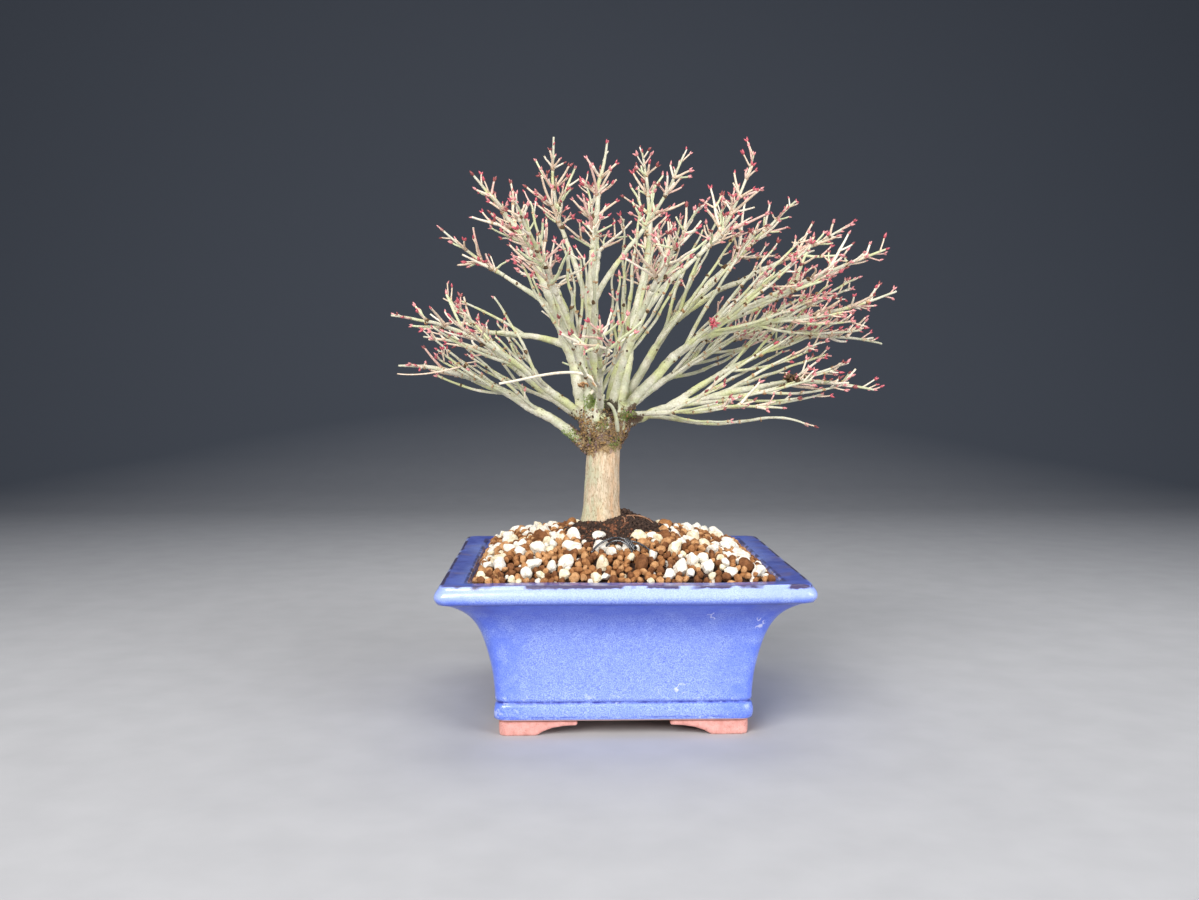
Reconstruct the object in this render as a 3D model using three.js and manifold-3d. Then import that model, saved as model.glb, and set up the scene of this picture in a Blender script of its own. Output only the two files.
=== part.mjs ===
// A bare Japanese maple trained as a bonsai, in a square glazed pot on four clay feet.
// Millimetres, +Z up, +X to the right and +Y away from the front. The group's origin lies on the
// ground under the middle of the whole plant's box. Inside the group the pot's middle is the axis.
import * as THREE from "three";
import { mergeVertices } from "three/addons/utils/BufferGeometryUtils.js";
import Module from "manifold-3d";

const wasm = await Module();
wasm.setup();

const TAU = 2 * Math.PI;
const UP = new THREE.Vector3(0, 0, 1);
const CLEARANCE = 0.3; // between neighbours that touch on the real plant
const TINY = 1e-6;

// The pot: half widths are from its middle to a side, heights from the ground
const RIM_HALF = 95;
const RIM_TOP = 85;
const RIM_LOW = 75;
const RIM_BULGE = 2.2;
const RIM_LEDGE = 2;
const RIM_EDGE_ROUND = 1.4;
const MOUTH_HALF = 81;
const FLOOR_HALF = 61;
const FLOOR_TOP = 15;
const CAVITY_FLARE = 1.5;
const BAND_HALF = 68.4;
const BAND_TOP = 18;
const BAND_SWELL = 0.7;
const GROOVE_DEEP = 0.9;
const GROOVE_HALF = 1.2;
const FLARE_SLOW_SHARE = 0.55;
const FLARE_SLOW_POWER = 1.8;
const FLARE_QUICK_POWER = 9;
const POT_CORNER = 6;
const CORNER_STEPS = 3;
const BAND_STEPS = 2;
const FLARE_STEPS = 9;
const LIP_STEPS = 4;
const CAVITY_STEPS = 3;
const CAVITY_ABOVE = 60; // how far the cut that makes the hollow runs up past the rim

// The feet: an L of clay under each corner, its two arms thinned by a curve towards their ends
const FOOT_TALL = 8;
const FOOT_OUTER = 66.5;
const FOOT_LONG = 42;
const FOOT_WIDE = 13;
const FOOT_TOE = 20;
const FOOT_TIP_TALL = 2.6;
const FOOT_CORNER = 4;
const FOOT_CURVE_POINTS = 4;
const FOOT_CURVE_PULL = 0.3; // where between toe and tip the curve's handle stands
const FOOT_CUT_BELOW = 1;

// The soil: a broad heap with a flat top that the trunk stands on, its large grains in loose rows,
// and a mound of peat at the trunk's foot
const SOIL_EDGE = 83.5;
const SOIL_TOP = 102;
const SOIL_DOME_POWER = 1.9;
const SOIL_PAD = 17;
const SOIL_DOME_STEPS = 5;
const GRAIN_ROWS = 8;
const GRAIN_APART = 18.2;
const GRAIN_SHIFT = 3.6; // how far a grain may lie from its place in the rows, each way
const GRAIN_SMALL = 4.6; // half sizes
const GRAIN_LARGE = 6;
const GRAIN_SUNK = 0.12;
const GRAIN_SEED = 77;
const GRAIN_SPINS = 2; // turns about the vertical for each one about the level axis
const MOUND_MIDDLE = [2, -4, 98];
const MOUND_HALF = [23, 18, 10.5];
const MOUND_SIDES = 12;
const MOUND_STEPS = 7;

// The trunk, whose axis stands left of the pot's middle and leans a little back to the right
const TRUNK_X = -10.4;
const TRUNK_Y = 0;
const TRUNK_LEAN_X = 2.2;
const TRUNK_LEAN_Y = 0.8;
const TRUNK_BASE = SOIL_TOP + CLEARANCE;
const TRUNK_TOP = 178;
const FLARE_RADIUS = 12.8;
const WAIST_RADIUS = 9.5;
const FLARE_FADE = 11;
const ROOT_LOBES = 5;
const ROOT_LOBE_DEEP = 1.3;
const ROOT_LOBE_TURN = 1; // in radians
const KNUCKLE_RADIUS = 14.6;
const KNUCKLE_START = 147;
const KNUCKLE_FULL = 164;
const KNUCKLE_DOME = 168;
const KNUCKLE_LOBES = 3;
const KNUCKLE_LOBE_DEEP = 0.9;
const TRUNK_SIDES = 15;
const TRUNK_STEPS = 13;
const TRUNK_END_SHARE = 0.5; // radius of the flat that tops the knuckle, of the knuckle's own

// Limbs and twigs
const BOUGH_TAPER = 0.6; // width at a bough's tip over its width at its foot
const BOUGH_SIDES = 6;
const BOUGH_STEPS = 6;
const BOUGH_HANDLE = 0.36; // share of its length that a bough runs in its first direction
const STEM_HANDLE = 0.42;
const STEM_TIP_WIDE = 1.6;
const TWIG_SIDES = 3;
const STEM_STEPS = 3;
const TWIG_WIDE = 1.5;
const TWIG_THINNER = 0.78; // each order of twig against the one that bears it
const BUD_WIDE = 1.8;
const BUD_AT = 0.9; // share of a twig's length where its end bud is widest
const INTERNODE = 11;
const FIRST_NODE = 0.12;
const TWIG_SHARE = 0.62; // length of a twig against what its bearer still has to run
const LENGTH_JITTER = 0.2;
const TWIG_LEAST = 8;
const TWIG_MOST = 34;
const TWIG_SPREAD = 43; // degrees from its bearer
const SPREAD_JITTER = 9;
const TWIST_JITTER = 24;
const TWIG_LIFT = 0.2;
const LIFT_JITTER = 0.8;
const SIDE_BEND = 0.12;
const TWIG_STEEPEST_FALL = -0.3;
const TWIG_ORDERS = 2;
const SECOND_ORDER_FROM = 21; // a twig shorter than this bears none
const SECOND_ORDER_NODES = 1;
const SHORTENINGS = [1, 0.76, 0.55];
const FIRST_MASS_SEED = 1000;
const MASS_SEED_STEP = 37;
const TWIG_SEED_FACTOR = 31;
const TWIG_SEED_ADDED = 7;
const SPACE_GAP = 1.5; // between the twigs of two masses, on each side of the border
const LIMB_GAP = 1.2;
const PAST_TIP = 2;
const BEHIND_START = 3;
const SAMPLE_EVERY = 2.5;

// Boughs that spring from the knuckle. heading turns from +X towards +Y, in degrees. seat is how far
// from the trunk's axis the bough starts and foot how high, out and top are the same for its tip,
// arch is how many degrees steeper than its chord it starts, and thick is its width there.
const KNUCKLE_BOUGHS = {
  left_low: { heading: 182, seat: 4, foot: 147, out: 74, top: 189, arch: 9, thick: 6.4 },
  left_front: { heading: 199, seat: 6, foot: 163, out: 63, top: 205, arch: 3, thick: 5.2 },
  left_back: { heading: 153, seat: 5, foot: 162, out: 55, top: 193, arch: -6, thick: 5 },
  right_low: { heading: 356, seat: 5, foot: 160, out: 97, top: 185, arch: 5, thick: 5.6 },
  right_front: { heading: 334, seat: 7, foot: 168, out: 66, top: 172, arch: -4, thick: 3.4 },
  right_back: { heading: 29, seat: 5, foot: 162, out: 88, top: 210, arch: 5, thick: 5 },
  back_low: { heading: 92, seat: 5, foot: 160, out: 62, top: 192, arch: 6, thick: 5 },
  front_low: { heading: 268, seat: 6, foot: 163, out: 52, top: 199, arch: 5, thick: 4.4 },
  left_rise: { heading: 189, seat: 10, foot: 168, out: 40, top: 258, arch: 9, thick: 7.4 },
  centre_rise: { heading: 206, seat: 2, foot: 170, out: 5, top: 262, arch: -4, thick: 7 },
  right_rise: { heading: 9, seat: 12, foot: 168, out: 26, top: 252, arch: 3, thick: 6 },
  right_fan: { heading: 351, seat: 12, foot: 166, out: 89, top: 231, arch: 15, thick: 6 },
  right_mid: { heading: 18, seat: 11, foot: 167, out: 72, top: 248, arch: 12, thick: 5.6 },
  back_left: { heading: 118, seat: 10, foot: 168, out: 50, top: 238, arch: 13, thick: 5.6 },
  back_right: { heading: 62, seat: 10, foot: 168, out: 54, top: 238, arch: 13, thick: 5.6 },
  front_left: { heading: 236, seat: 10, foot: 168, out: 44, top: 234, arch: 12, thick: 5 },
  front_right: { heading: 302, seat: 10, foot: 168, out: 50, top: 236, arch: 12, thick: 5 },
};

// Boughs that fork from another one, at that share of its length
const FORK_BOUGHS = {
  left_level: { from: "left_rise", at: 0.42, heading: 176, out: 60, top: 215, arch: 12, thick: 4.4 },
  left_side: { from: "left_rise", at: 0.6, heading: 172, out: 56, top: 248, arch: 8, thick: 4 },
  top_left: { from: "centre_rise", at: 0.55, heading: 163, out: 21, top: 269, arch: 6, thick: 4.4 },
  top_right: { from: "centre_rise", at: 0.66, heading: 344, out: 21, top: 268, arch: 6, thick: 4 },
  top_back: { from: "centre_rise", at: 0.45, heading: 91, out: 34, top: 260, arch: 8, thick: 4.2 },
  right_high: { from: "right_rise", at: 0.6, heading: 356, out: 55, top: 258, arch: 8, thick: 4.2 },
  right_reach: { from: "right_fan", at: 0.62, heading: 354, out: 112, top: 223, arch: 4, thick: 4 },
  right_wing: { from: "right_mid", at: 0.66, heading: 7, out: 100, top: 254, arch: 6, thick: 4 },
  right_level: { from: "right_low", at: 0.36, heading: 4, out: 105, top: 208, arch: 6, thick: 4 },
};

// Where the leading shoot of the mass on each bough ends
const MASS_TIPS = {
  left_low: { heading: 182, out: 116, top: 196 },
  left_front: { heading: 197, out: 120, top: 223 },
  left_back: { heading: 156, out: 117, top: 214 },
  right_low: { heading: 358, out: 158, top: 182 },
  right_front: { heading: 332, out: 110, top: 173 },
  right_back: { heading: 27, out: 150, top: 228 },
  back_low: { heading: 91, out: 112, top: 206 },
  front_low: { heading: 268, out: 104, top: 213 },
  left_rise: { heading: 188, out: 73, top: 303 },
  centre_rise: { heading: 300, out: 7, top: 322 },
  right_rise: { heading: 9, out: 24, top: 319 },
  right_fan: { heading: 352, out: 161, top: 261 },
  right_mid: { heading: 16, out: 123, top: 295 },
  back_left: { heading: 120, out: 96, top: 282 },
  back_right: { heading: 60, out: 102, top: 280 },
  front_left: { heading: 238, out: 88, top: 280 },
  front_right: { heading: 300, out: 96, top: 276 },
  left_level: { heading: 175, out: 89, top: 237 },
  left_side: { heading: 171, out: 93, top: 275 },
  top_left: { heading: 172, out: 27, top: 327 },
  top_right: { heading: 345, out: 48, top: 314 },
  top_back: { heading: 98, out: 59, top: 310 },
  right_high: { heading: 356, out: 87, top: 316 },
  right_reach: { heading: 355, out: 168, top: 238 },
  right_wing: { heading: 6, out: 146, top: 278 },
  right_level: { heading: 5, out: 168, top: 209 },
};

const GLAZE = { color: 0x3f55b5, roughness: 0.28, metalness: 0 };
const CLAY = { color: 0xc98a78, roughness: 0.85, metalness: 0 };
const GRAINS = { color: 0xa9713f, roughness: 0.95, metalness: 0 };
const TRUNK_BARK = { color: 0xcbbd98, roughness: 0.8, metalness: 0 };
const BOUGH_BARK = { color: 0xbfc3a0, roughness: 0.75, metalness: 0 };
const TWIG_BARK = { color: 0xb98b74, roughness: 0.7, metalness: 0 };

const radians = (degrees) => (degrees * Math.PI) / 180;
const mix = (a, b, share) => a + (b - a) * share;
const smooth = (from, to, value) => THREE.MathUtils.smoothstep(value, from, to);

// Repeatable numbers from 0 to 1
class Draws {
  static RANGE = 2 ** 32;
  static FACTOR = 1664525;
  static ADDED = 1013904223;

  constructor(seed) {
    this.state = seed % Draws.RANGE;
    this.next();
  }

  next() {
    this.state = (this.state * Draws.FACTOR + Draws.ADDED) % Draws.RANGE;
    return this.state / Draws.RANGE;
  }

  about(middle, spread) {
    return middle + spread * (2 * this.next() - 1);
  }
}

// A closed geometry as a solid
function solidOf(geometry) {
  geometry.deleteAttribute("normal");
  geometry.deleteAttribute("uv");
  const merged = mergeVertices(geometry);
  const vertProperties = merged.getAttribute("position").array;
  const triVerts = new Uint32Array(merged.index.array);
  return new wasm.Manifold(new wasm.Mesh({ numProp: 3, vertProperties, triVerts }));
}

// A cylinder whose rings are moved to ring(step, turn) and whose two cap middles go to middle(step).
// turn counts the sides anticlockwise, seen from the top, and starts at the front.
function skin(sides, steps, ring, middle, pointed = false) {
  const shape = new THREE.CylinderGeometry(pointed ? 0 : 1, 1, steps, sides, steps);
  const at = shape.getAttribute("position");
  for (let i = 0; i < at.count; i++) {
    const step = Math.round(at.getY(i) + steps / 2);
    const onAxis = Math.hypot(at.getX(i), at.getZ(i)) < TINY;
    const turn = Math.round((Math.atan2(at.getX(i), at.getZ(i)) / TAU) * sides);
    const place = onAxis ? middle(step) : ring(step, (turn + sides) % sides);
    at.setXYZ(i, place.x, place.y, place.z);
  }
  return solidOf(shape);
}

// The one body that counts: loose scraps and sealed hollows are left behind
function mainBody(solid) {
  const bodies = solid.decompose();
  return bodies.reduce((most, body) => (body.volume() > most.volume() ? body : most));
}

function meshOf(name, solid, look) {
  const made = solid.getMesh();
  const geometry = new THREE.BufferGeometry();
  const places = new Float32Array(made.vertProperties);
  geometry.setAttribute("position", new THREE.BufferAttribute(places, 3));
  geometry.setIndex(new THREE.BufferAttribute(new Uint32Array(made.triVerts), 1));
  geometry.computeVertexNormals();
  const mesh = new THREE.Mesh(geometry, new THREE.MeshStandardMaterial(look));
  mesh.name = name;
  return mesh;
}

// A point on a square with round corners, seen from above, CORNER_STEPS to a corner
const SQUARE_SIDES = 4 * (CORNER_STEPS + 1);
function squarePoint(half, corner, turn, height) {
  const quarter = Math.floor(turn / (CORNER_STEPS + 1));
  const share = (turn % (CORNER_STEPS + 1)) / CORNER_STEPS;
  const middle = radians(-45 + 90 * quarter);
  const angle = middle + radians(90) * (share - 0.5);
  const centre = (half - corner) * Math.SQRT2;
  return new THREE.Vector3(
    centre * Math.cos(middle) + corner * Math.cos(angle),
    centre * Math.sin(middle) + corner * Math.sin(angle),
    height,
  );
}

// The pot's outside from its underside to its rim, as [height, half width] pairs
function potProfile() {
  const profile = [];
  const groove = BAND_TOP - GROOVE_HALF;
  for (let i = 0; i <= BAND_STEPS; i++) {
    const share = i / BAND_STEPS;
    const swell = BAND_SWELL * Math.sin(Math.PI * share);
    profile.push([mix(FOOT_TALL, groove, share), BAND_HALF + swell]);
  }
  profile.push([BAND_TOP, BAND_HALF - GROOVE_DEEP]);
  const flareFrom = BAND_TOP + GROOVE_HALF;
  const flareWide = RIM_HALF - RIM_LEDGE - BAND_HALF;
  for (let i = 0; i <= FLARE_STEPS; i++) {
    const share = i / FLARE_STEPS;
    const slow = FLARE_SLOW_SHARE * share ** FLARE_SLOW_POWER;
    const quick = (1 - FLARE_SLOW_SHARE) * share ** FLARE_QUICK_POWER;
    profile.push([mix(flareFrom, RIM_LOW, share), BAND_HALF + flareWide * (slow + quick)]);
  }
  for (let i = 0; i <= LIP_STEPS; i++) {
    const share = i / LIP_STEPS;
    const bulge = RIM_BULGE * Math.sin(Math.PI * share);
    const height = mix(RIM_LOW + CLEARANCE, RIM_TOP - RIM_EDGE_ROUND, share);
    profile.push([height, RIM_HALF + bulge]);
  }
  profile.push([RIM_TOP, RIM_HALF - RIM_EDGE_ROUND]);
  return profile;
}

// The pot's hollow, with its walls and floor moved inwards by inset, and open far above the rim
function cavitySolid(inset) {
  const heightAt = (step) =>
    step > CAVITY_STEPS ? RIM_TOP + CAVITY_ABOVE : mix(FLOOR_TOP + inset, RIM_TOP, step / CAVITY_STEPS);
  const halfAt = (step) =>
    mix(FLOOR_HALF, MOUTH_HALF, Math.min(1, step / CAVITY_STEPS) ** CAVITY_FLARE) - inset;
  return skin(
    SQUARE_SIDES,
    CAVITY_STEPS + 1,
    (step, turn) => squarePoint(halfAt(step), POT_CORNER, turn, heightAt(step)),
    (step) => new THREE.Vector3(0, 0, heightAt(step)),
  );
}

function potSolid() {
  const profile = potProfile();
  const outside = skin(
    SQUARE_SIDES,
    profile.length - 1,
    (step, turn) => squarePoint(profile[step][1], POT_CORNER, turn, profile[step][0]),
    (step) => new THREE.Vector3(0, 0, profile[step][0]),
  );
  return outside.subtract(cavitySolid(0));
}

// One foot: an arm's side view extruded across its width, and the same again turned onto the
// other side of the corner. right and back are 1 or -1.
function footSolid(right, back) {
  const top = FOOT_TALL - CLEARANCE;
  const side = new THREE.Shape();
  side.moveTo(0, 0);
  side.lineTo(FOOT_TOE, 0);
  const tip = top - FOOT_TIP_TALL;
  side.quadraticCurveTo(mix(FOOT_TOE, FOOT_LONG, FOOT_CURVE_PULL), tip, FOOT_LONG, tip);
  side.lineTo(FOOT_LONG, top);
  side.lineTo(0, top);
  side.closePath();
  const settings = { depth: FOOT_WIDE, bevelEnabled: false, curveSegments: FOOT_CURVE_POINTS };
  const arm = new THREE.ExtrudeGeometry(side, settings).rotateX(Math.PI / 2);
  const along = solidOf(arm.clone().translate(0, FOOT_WIDE, 0));
  const across = solidOf(arm.clone().rotateZ(Math.PI / 2));
  const heightAt = (step) => mix(-FOOT_CUT_BELOW, FOOT_TALL, step);
  const corner = skin(
    SQUARE_SIDES,
    1,
    (step, turn) => squarePoint(FOOT_LONG, FOOT_CORNER, turn, heightAt(step)),
    (step) => new THREE.Vector3(0, 0, heightAt(step)),
  ).translate([FOOT_LONG, FOOT_LONG, 0]);
  const quarterTurns = { "-1,-1": 0, "1,-1": 1, "1,1": 2, "-1,1": 3 }[`${right},${back}`];
  return along
    .add(across)
    .intersect(corner)
    .translate([-FOOT_OUTER, -FOOT_OUTER, 0])
    .rotate([0, 0, 90 * quarterTurns]);
}

// The heap's height, where share is 0 at the flat top's edge and 1 at the pot's wall
function soilHeight(share) {
  return SOIL_EDGE + (SOIL_TOP - SOIL_EDGE) * (1 - share ** SOIL_DOME_POWER);
}

// A point on the heap: round beside the trunk and square at the pot's wall
function soilPoint(share, turn) {
  const wall = squarePoint(MOUTH_HALF, POT_CORNER, turn, soilHeight(share));
  const out = new THREE.Vector3(wall.x, wall.y, 0).normalize();
  const pad = new THREE.Vector3(TRUNK_X, TRUNK_Y, wall.z).addScaledVector(out, SOIL_PAD);
  return pad.lerp(wall, share);
}

// How far out a place on the heap lies, from 0 at the flat top's edge to 1 at the wall
function soilShare(x, y) {
  const wall = Math.max(Math.abs(x), Math.abs(y)) / MOUTH_HALF;
  const reach = Math.max(Math.abs(x - TRUNK_X * (1 - wall)), Math.abs(y - TRUNK_Y * (1 - wall)));
  return THREE.MathUtils.clamp((reach - SOIL_PAD) / (MOUTH_HALF - SOIL_PAD), 0, 1);
}

// The places of the large grains, clear of the trunk and of the mound
function largeGrains() {
  const draws = new Draws(GRAIN_SEED);
  const grains = [];
  for (let i = 0; i < GRAIN_ROWS * GRAIN_ROWS; i++) {
    const across = (i % GRAIN_ROWS) - (GRAIN_ROWS - 1) / 2;
    const back = Math.floor(i / GRAIN_ROWS) - (GRAIN_ROWS - 1) / 2;
    const x = draws.about(across * GRAIN_APART, GRAIN_SHIFT);
    const y = draws.about(back * GRAIN_APART, GRAIN_SHIFT);
    const size = mix(GRAIN_SMALL, GRAIN_LARGE, draws.next());
    const turned = TAU * draws.next();
    const fromTrunk = Math.hypot(x - TRUNK_X, y - TRUNK_Y);
    const fromMound = Math.hypot((x - MOUND_MIDDLE[0]) / MOUND_HALF[0], (y - MOUND_MIDDLE[1]) / MOUND_HALF[1]);
    if (fromTrunk > SOIL_PAD + GRAIN_LARGE && fromMound > 1) grains.push({ x, y, size, turned });
  }
  return grains;
}

// The mound, cut clear of the trunk that it leans against
function moundSolid() {
  const dome = new THREE.SphereGeometry(1, MOUND_SIDES, MOUND_STEPS).rotateX(Math.PI / 2);
  dome.scale(...MOUND_HALF).translate(...MOUND_MIDDLE);
  return solidOf(dome).subtract(trunkSolid(CLEARANCE));
}

function soilSolid() {
  const bottom = new THREE.Vector3(TRUNK_X, TRUNK_Y, 0);
  const top = new THREE.Vector3(TRUNK_X, TRUNK_Y, SOIL_TOP);
  const heap = skin(
    SQUARE_SIDES,
    SOIL_DOME_STEPS + 1,
    (step, turn) => {
      if (step === 0) return squarePoint(MOUTH_HALF, POT_CORNER, turn, 0);
      return soilPoint(1 - (step - 1) / SOIL_DOME_STEPS, turn);
    },
    (step) => (step ? top : bottom),
  );
  const grains = largeGrains().map(({ x, y, size, turned }) => {
    const grain = new THREE.OctahedronGeometry(size, 0);
    grain.rotateX(turned).rotateZ(GRAIN_SPINS * turned);
    grain.translate(x, y, soilHeight(soilShare(x, y)) - size * GRAIN_SUNK);
    return solidOf(grain);
  });
  const soil = [moundSolid(), ...grains].reduce((joined, more) => joined.add(more), heap);
  return mainBody(soil.intersect(cavitySolid(CLEARANCE)));
}

// The trunk's radius at a height and an angle, and the place of its axis
function trunkRadius(height, angle) {
  const above = height - TRUNK_BASE;
  const flare = Math.exp(-above / FLARE_FADE);
  const swell = smooth(KNUCKLE_START, KNUCKLE_FULL, height);
  const roots = ROOT_LOBE_DEEP * flare * Math.cos(ROOT_LOBES * angle + ROOT_LOBE_TURN);
  const lumps = KNUCKLE_LOBE_DEEP * swell * Math.cos(KNUCKLE_LOBES * angle);
  const dome = Math.max(0, (height - KNUCKLE_DOME) / (TRUNK_TOP - KNUCKLE_DOME));
  const radius = WAIST_RADIUS + (FLARE_RADIUS - WAIST_RADIUS) * flare;
  const knuckle = (KNUCKLE_RADIUS - WAIST_RADIUS) * swell;
  const domed = Math.sqrt(1 - (1 - TRUNK_END_SHARE ** 2) * dome * dome);
  return (radius + knuckle + roots + lumps) * domed;
}

function trunkMiddle(height) {
  const share = smooth(TRUNK_BASE, KNUCKLE_DOME, height);
  return new THREE.Vector3(TRUNK_X + TRUNK_LEAN_X * share, TRUNK_Y + TRUNK_LEAN_Y * share, height);
}

// extra moves the whole surface outwards, for the cut that keeps the boughs clear
function trunkSolid(extra = 0) {
  const shareAt = (step) => step / TRUNK_STEPS;
  const raise = (step) => extra * (2 * shareAt(step) - 1);
  return skin(
    TRUNK_SIDES,
    TRUNK_STEPS,
    (step, turn) => {
      const height = mix(TRUNK_BASE, TRUNK_TOP, shareAt(step));
      const angle = (TAU * turn) / TRUNK_SIDES - Math.PI / 2;
      const out = new THREE.Vector3(Math.cos(angle), Math.sin(angle), 0);
      const place = trunkMiddle(height).addScaledVector(out, trunkRadius(height, angle) + extra);
      place.z += raise(step);
      return place;
    },
    (step) => trunkMiddle(mix(TRUNK_BASE, TRUNK_TOP, shareAt(step)) + raise(step)),
  );
}

// A place by its heading and distance from the trunk's axis, and its height
function placeOf(heading, out, height) {
  const turned = radians(heading);
  return new THREE.Vector3(
    TRUNK_X + out * Math.cos(turned),
    TRUNK_Y + out * Math.sin(turned),
    height,
  );
}

// A direction turned upwards by some degrees
function raised(direction, degrees) {
  const side = new THREE.Vector3().crossVectors(direction, UP);
  if (side.length() < TINY) return direction.clone();
  return direction.clone().applyAxisAngle(side.normalize(), radians(degrees));
}

// A bough's curve: an arc that starts steeper than its chord by arch degrees and ends flatter
function boughCurve(start, end, arch) {
  const chord = end.clone().sub(start);
  const handle = chord.length() * BOUGH_HANDLE;
  chord.normalize();
  const first = raised(chord, arch);
  const last = raised(chord, -arch);
  return new THREE.CubicBezierCurve3(
    start,
    start.clone().addScaledVector(first, handle),
    end.clone().addScaledVector(last, -handle),
    end,
  );
}

// A tapering limb along a curve. radiusAt takes a share of the length, and stations are those shares.
function limbSolid(curve, radiusAt, sides, stations, pointed = false) {
  const steps = stations.length - 1;
  const frames = stations.map((share) => {
    const along = curve.getTangentAt(share);
    const level = new THREE.Vector3().crossVectors(along, UP);
    if (level.length() < TINY) level.set(1, 0, 0);
    level.normalize();
    return { point: curve.getPointAt(share), level, upper: level.clone().cross(along) };
  });
  return skin(
    sides,
    steps,
    (step, turn) => {
      const angle = (TAU * turn) / sides;
      const radius = radiusAt(stations[step]);
      return frames[step].point
        .clone()
        .addScaledVector(frames[step].level, radius * Math.sin(angle))
        .addScaledVector(frames[step].upper, radius * Math.cos(angle));
    },
    (step) => frames[step].point,
    pointed,
  );
}

const evenStations = (steps) => Array.from({ length: steps + 1 }, (_, i) => i / steps);

// All boughs in the order in which they are made, each with its curve and radius
function makeBoughs() {
  const boughs = new Map();
  const add = (name, start, size, bearer) => {
    const curve = boughCurve(start, placeOf(size.heading, size.out, size.top), size.arch);
    const radiusAt = (share) => (size.thick / 2) * mix(1, BOUGH_TAPER, share);
    boughs.set(name, { name, curve, radiusAt, bearer });
  };
  for (const [name, size] of Object.entries(KNUCKLE_BOUGHS)) {
    add(name, placeOf(size.heading, size.seat, size.foot), size, null);
  }
  for (const [name, size] of Object.entries(FORK_BOUGHS)) {
    add(name, boughs.get(size.from).curve.getPointAt(size.at), size, size.from);
  }
  return boughs;
}

const boughs = makeBoughs();

// Each bough as short straight stretches with their radius, to measure distances by
const limbStretches = [...boughs.values()].flatMap(({ name, curve, radiusAt }) =>
  evenStations(BOUGH_STEPS)
    .slice(1)
    .map((share) => {
      const before = share - 1 / BOUGH_STEPS;
      return { name, a: curve.getPointAt(before), b: curve.getPointAt(share), radius: radiusAt(before) };
    }),
);

function distanceToStretch(point, a, b) {
  const along = b.clone().sub(a);
  const share = point.clone().sub(a).dot(along) / along.lengthSq();
  return point.distanceTo(a.clone().addScaledVector(along, THREE.MathUtils.clamp(share, 0, 1)));
}

// The masses of twigs: each keeps to the space that lies nearer to its own axis than to any other's
const masses = [...boughs.values()].map(({ name, curve, radiusAt }, index) => {
  const size = MASS_TIPS[name];
  const way = curve.getTangentAt(1);
  const start = curve.getPointAt(1).addScaledVector(way, CLEARANCE);
  const end = placeOf(size.heading, size.out, size.top);
  const seed = FIRST_MASS_SEED + MASS_SEED_STEP * index;
  return { name, way, start, end, wide: 2 * radiusAt(1), seed, shoots: [] };
});

function inSpace(mass, point, radius) {
  const axis = mass.end.clone().sub(mass.start);
  const along = point.clone().sub(mass.start).dot(axis) / axis.length();
  if (along < -BEHIND_START || along > axis.length() + PAST_TIP) return false;
  const own = distanceToStretch(point, mass.start, mass.end);
  const border = 2 * (radius + SPACE_GAP);
  const others = masses.filter((other) => other !== mass);
  if (others.some((other) => distanceToStretch(point, other.start, other.end) < own + border)) {
    return false;
  }
  return limbStretches.every(
    (stretch) => distanceToStretch(point, stretch.a, stretch.b) > stretch.radius + radius + LIMB_GAP,
  );
}

// Whether a shoot past its first few millimetres, which lie in its bearer, keeps to its mass's space
function fits(mass, curve, length, radius) {
  const count = Math.ceil(length / SAMPLE_EVERY);
  for (let i = 1; i <= count; i++) {
    if (!inSpace(mass, curve.getPointAt(i / count), radius)) return false;
  }
  return true;
}

// The curve of one shoot: straight out, then lifted a little towards the light
function shootCurve(start, way, length, draws) {
  const lift = TWIG_LIFT * draws.about(1, LIFT_JITTER);
  const bend = new THREE.Vector3(draws.about(0, SIDE_BEND), draws.about(0, SIDE_BEND), lift);
  const middle = start.clone().addScaledVector(way, length / 2);
  const onward = way.clone().add(bend).normalize();
  const end = middle.clone().addScaledVector(onward, length / 2);
  return new THREE.QuadraticBezierCurve3(start, middle, end);
}

// Pairs of opposite twigs at a shoot's nodes, each pair turned a quarter against the last one
function bearTwigs(mass, shoot, order, seed) {
  const draws = new Draws(seed);
  const first = FIRST_NODE * shoot.length;
  const room = Math.max(1, Math.floor((shoot.length - first) / INTERNODE));
  const nodes = order > 1 ? Math.min(room, SECOND_ORDER_NODES) : room;
  for (let node = 0; node < nodes; node++) {
    const share = (first + node * INTERNODE) / shoot.length;
    const start = shoot.curve.getPointAt(share);
    const onward = shoot.curve.getTangentAt(share);
    const level = new THREE.Vector3().crossVectors(onward, UP).normalize();
    const twist = radians(90 * (node % 2) + draws.about(0, TWIST_JITTER));
    const outward = level.applyAxisAngle(onward, twist);
    for (const side of [1, -1]) {
      const spread = radians(draws.about(TWIG_SPREAD, SPREAD_JITTER));
      const way = onward.clone().multiplyScalar(Math.cos(spread));
      way.addScaledVector(outward, side * Math.sin(spread)).normalize();
      const free = shoot.length * (1 - share) * TWIG_SHARE * draws.about(1, LENGTH_JITTER);
      const wanted = THREE.MathUtils.clamp(free, TWIG_LEAST, TWIG_MOST);
      const childSeed = (seed * TWIG_SEED_FACTOR + node * 2 + side + TWIG_SEED_ADDED) % Draws.RANGE;
      if (way.z < TWIG_STEEPEST_FALL) continue;
      addShoot(mass, start, way, wanted, order, childSeed);
    }
  }
}

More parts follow.
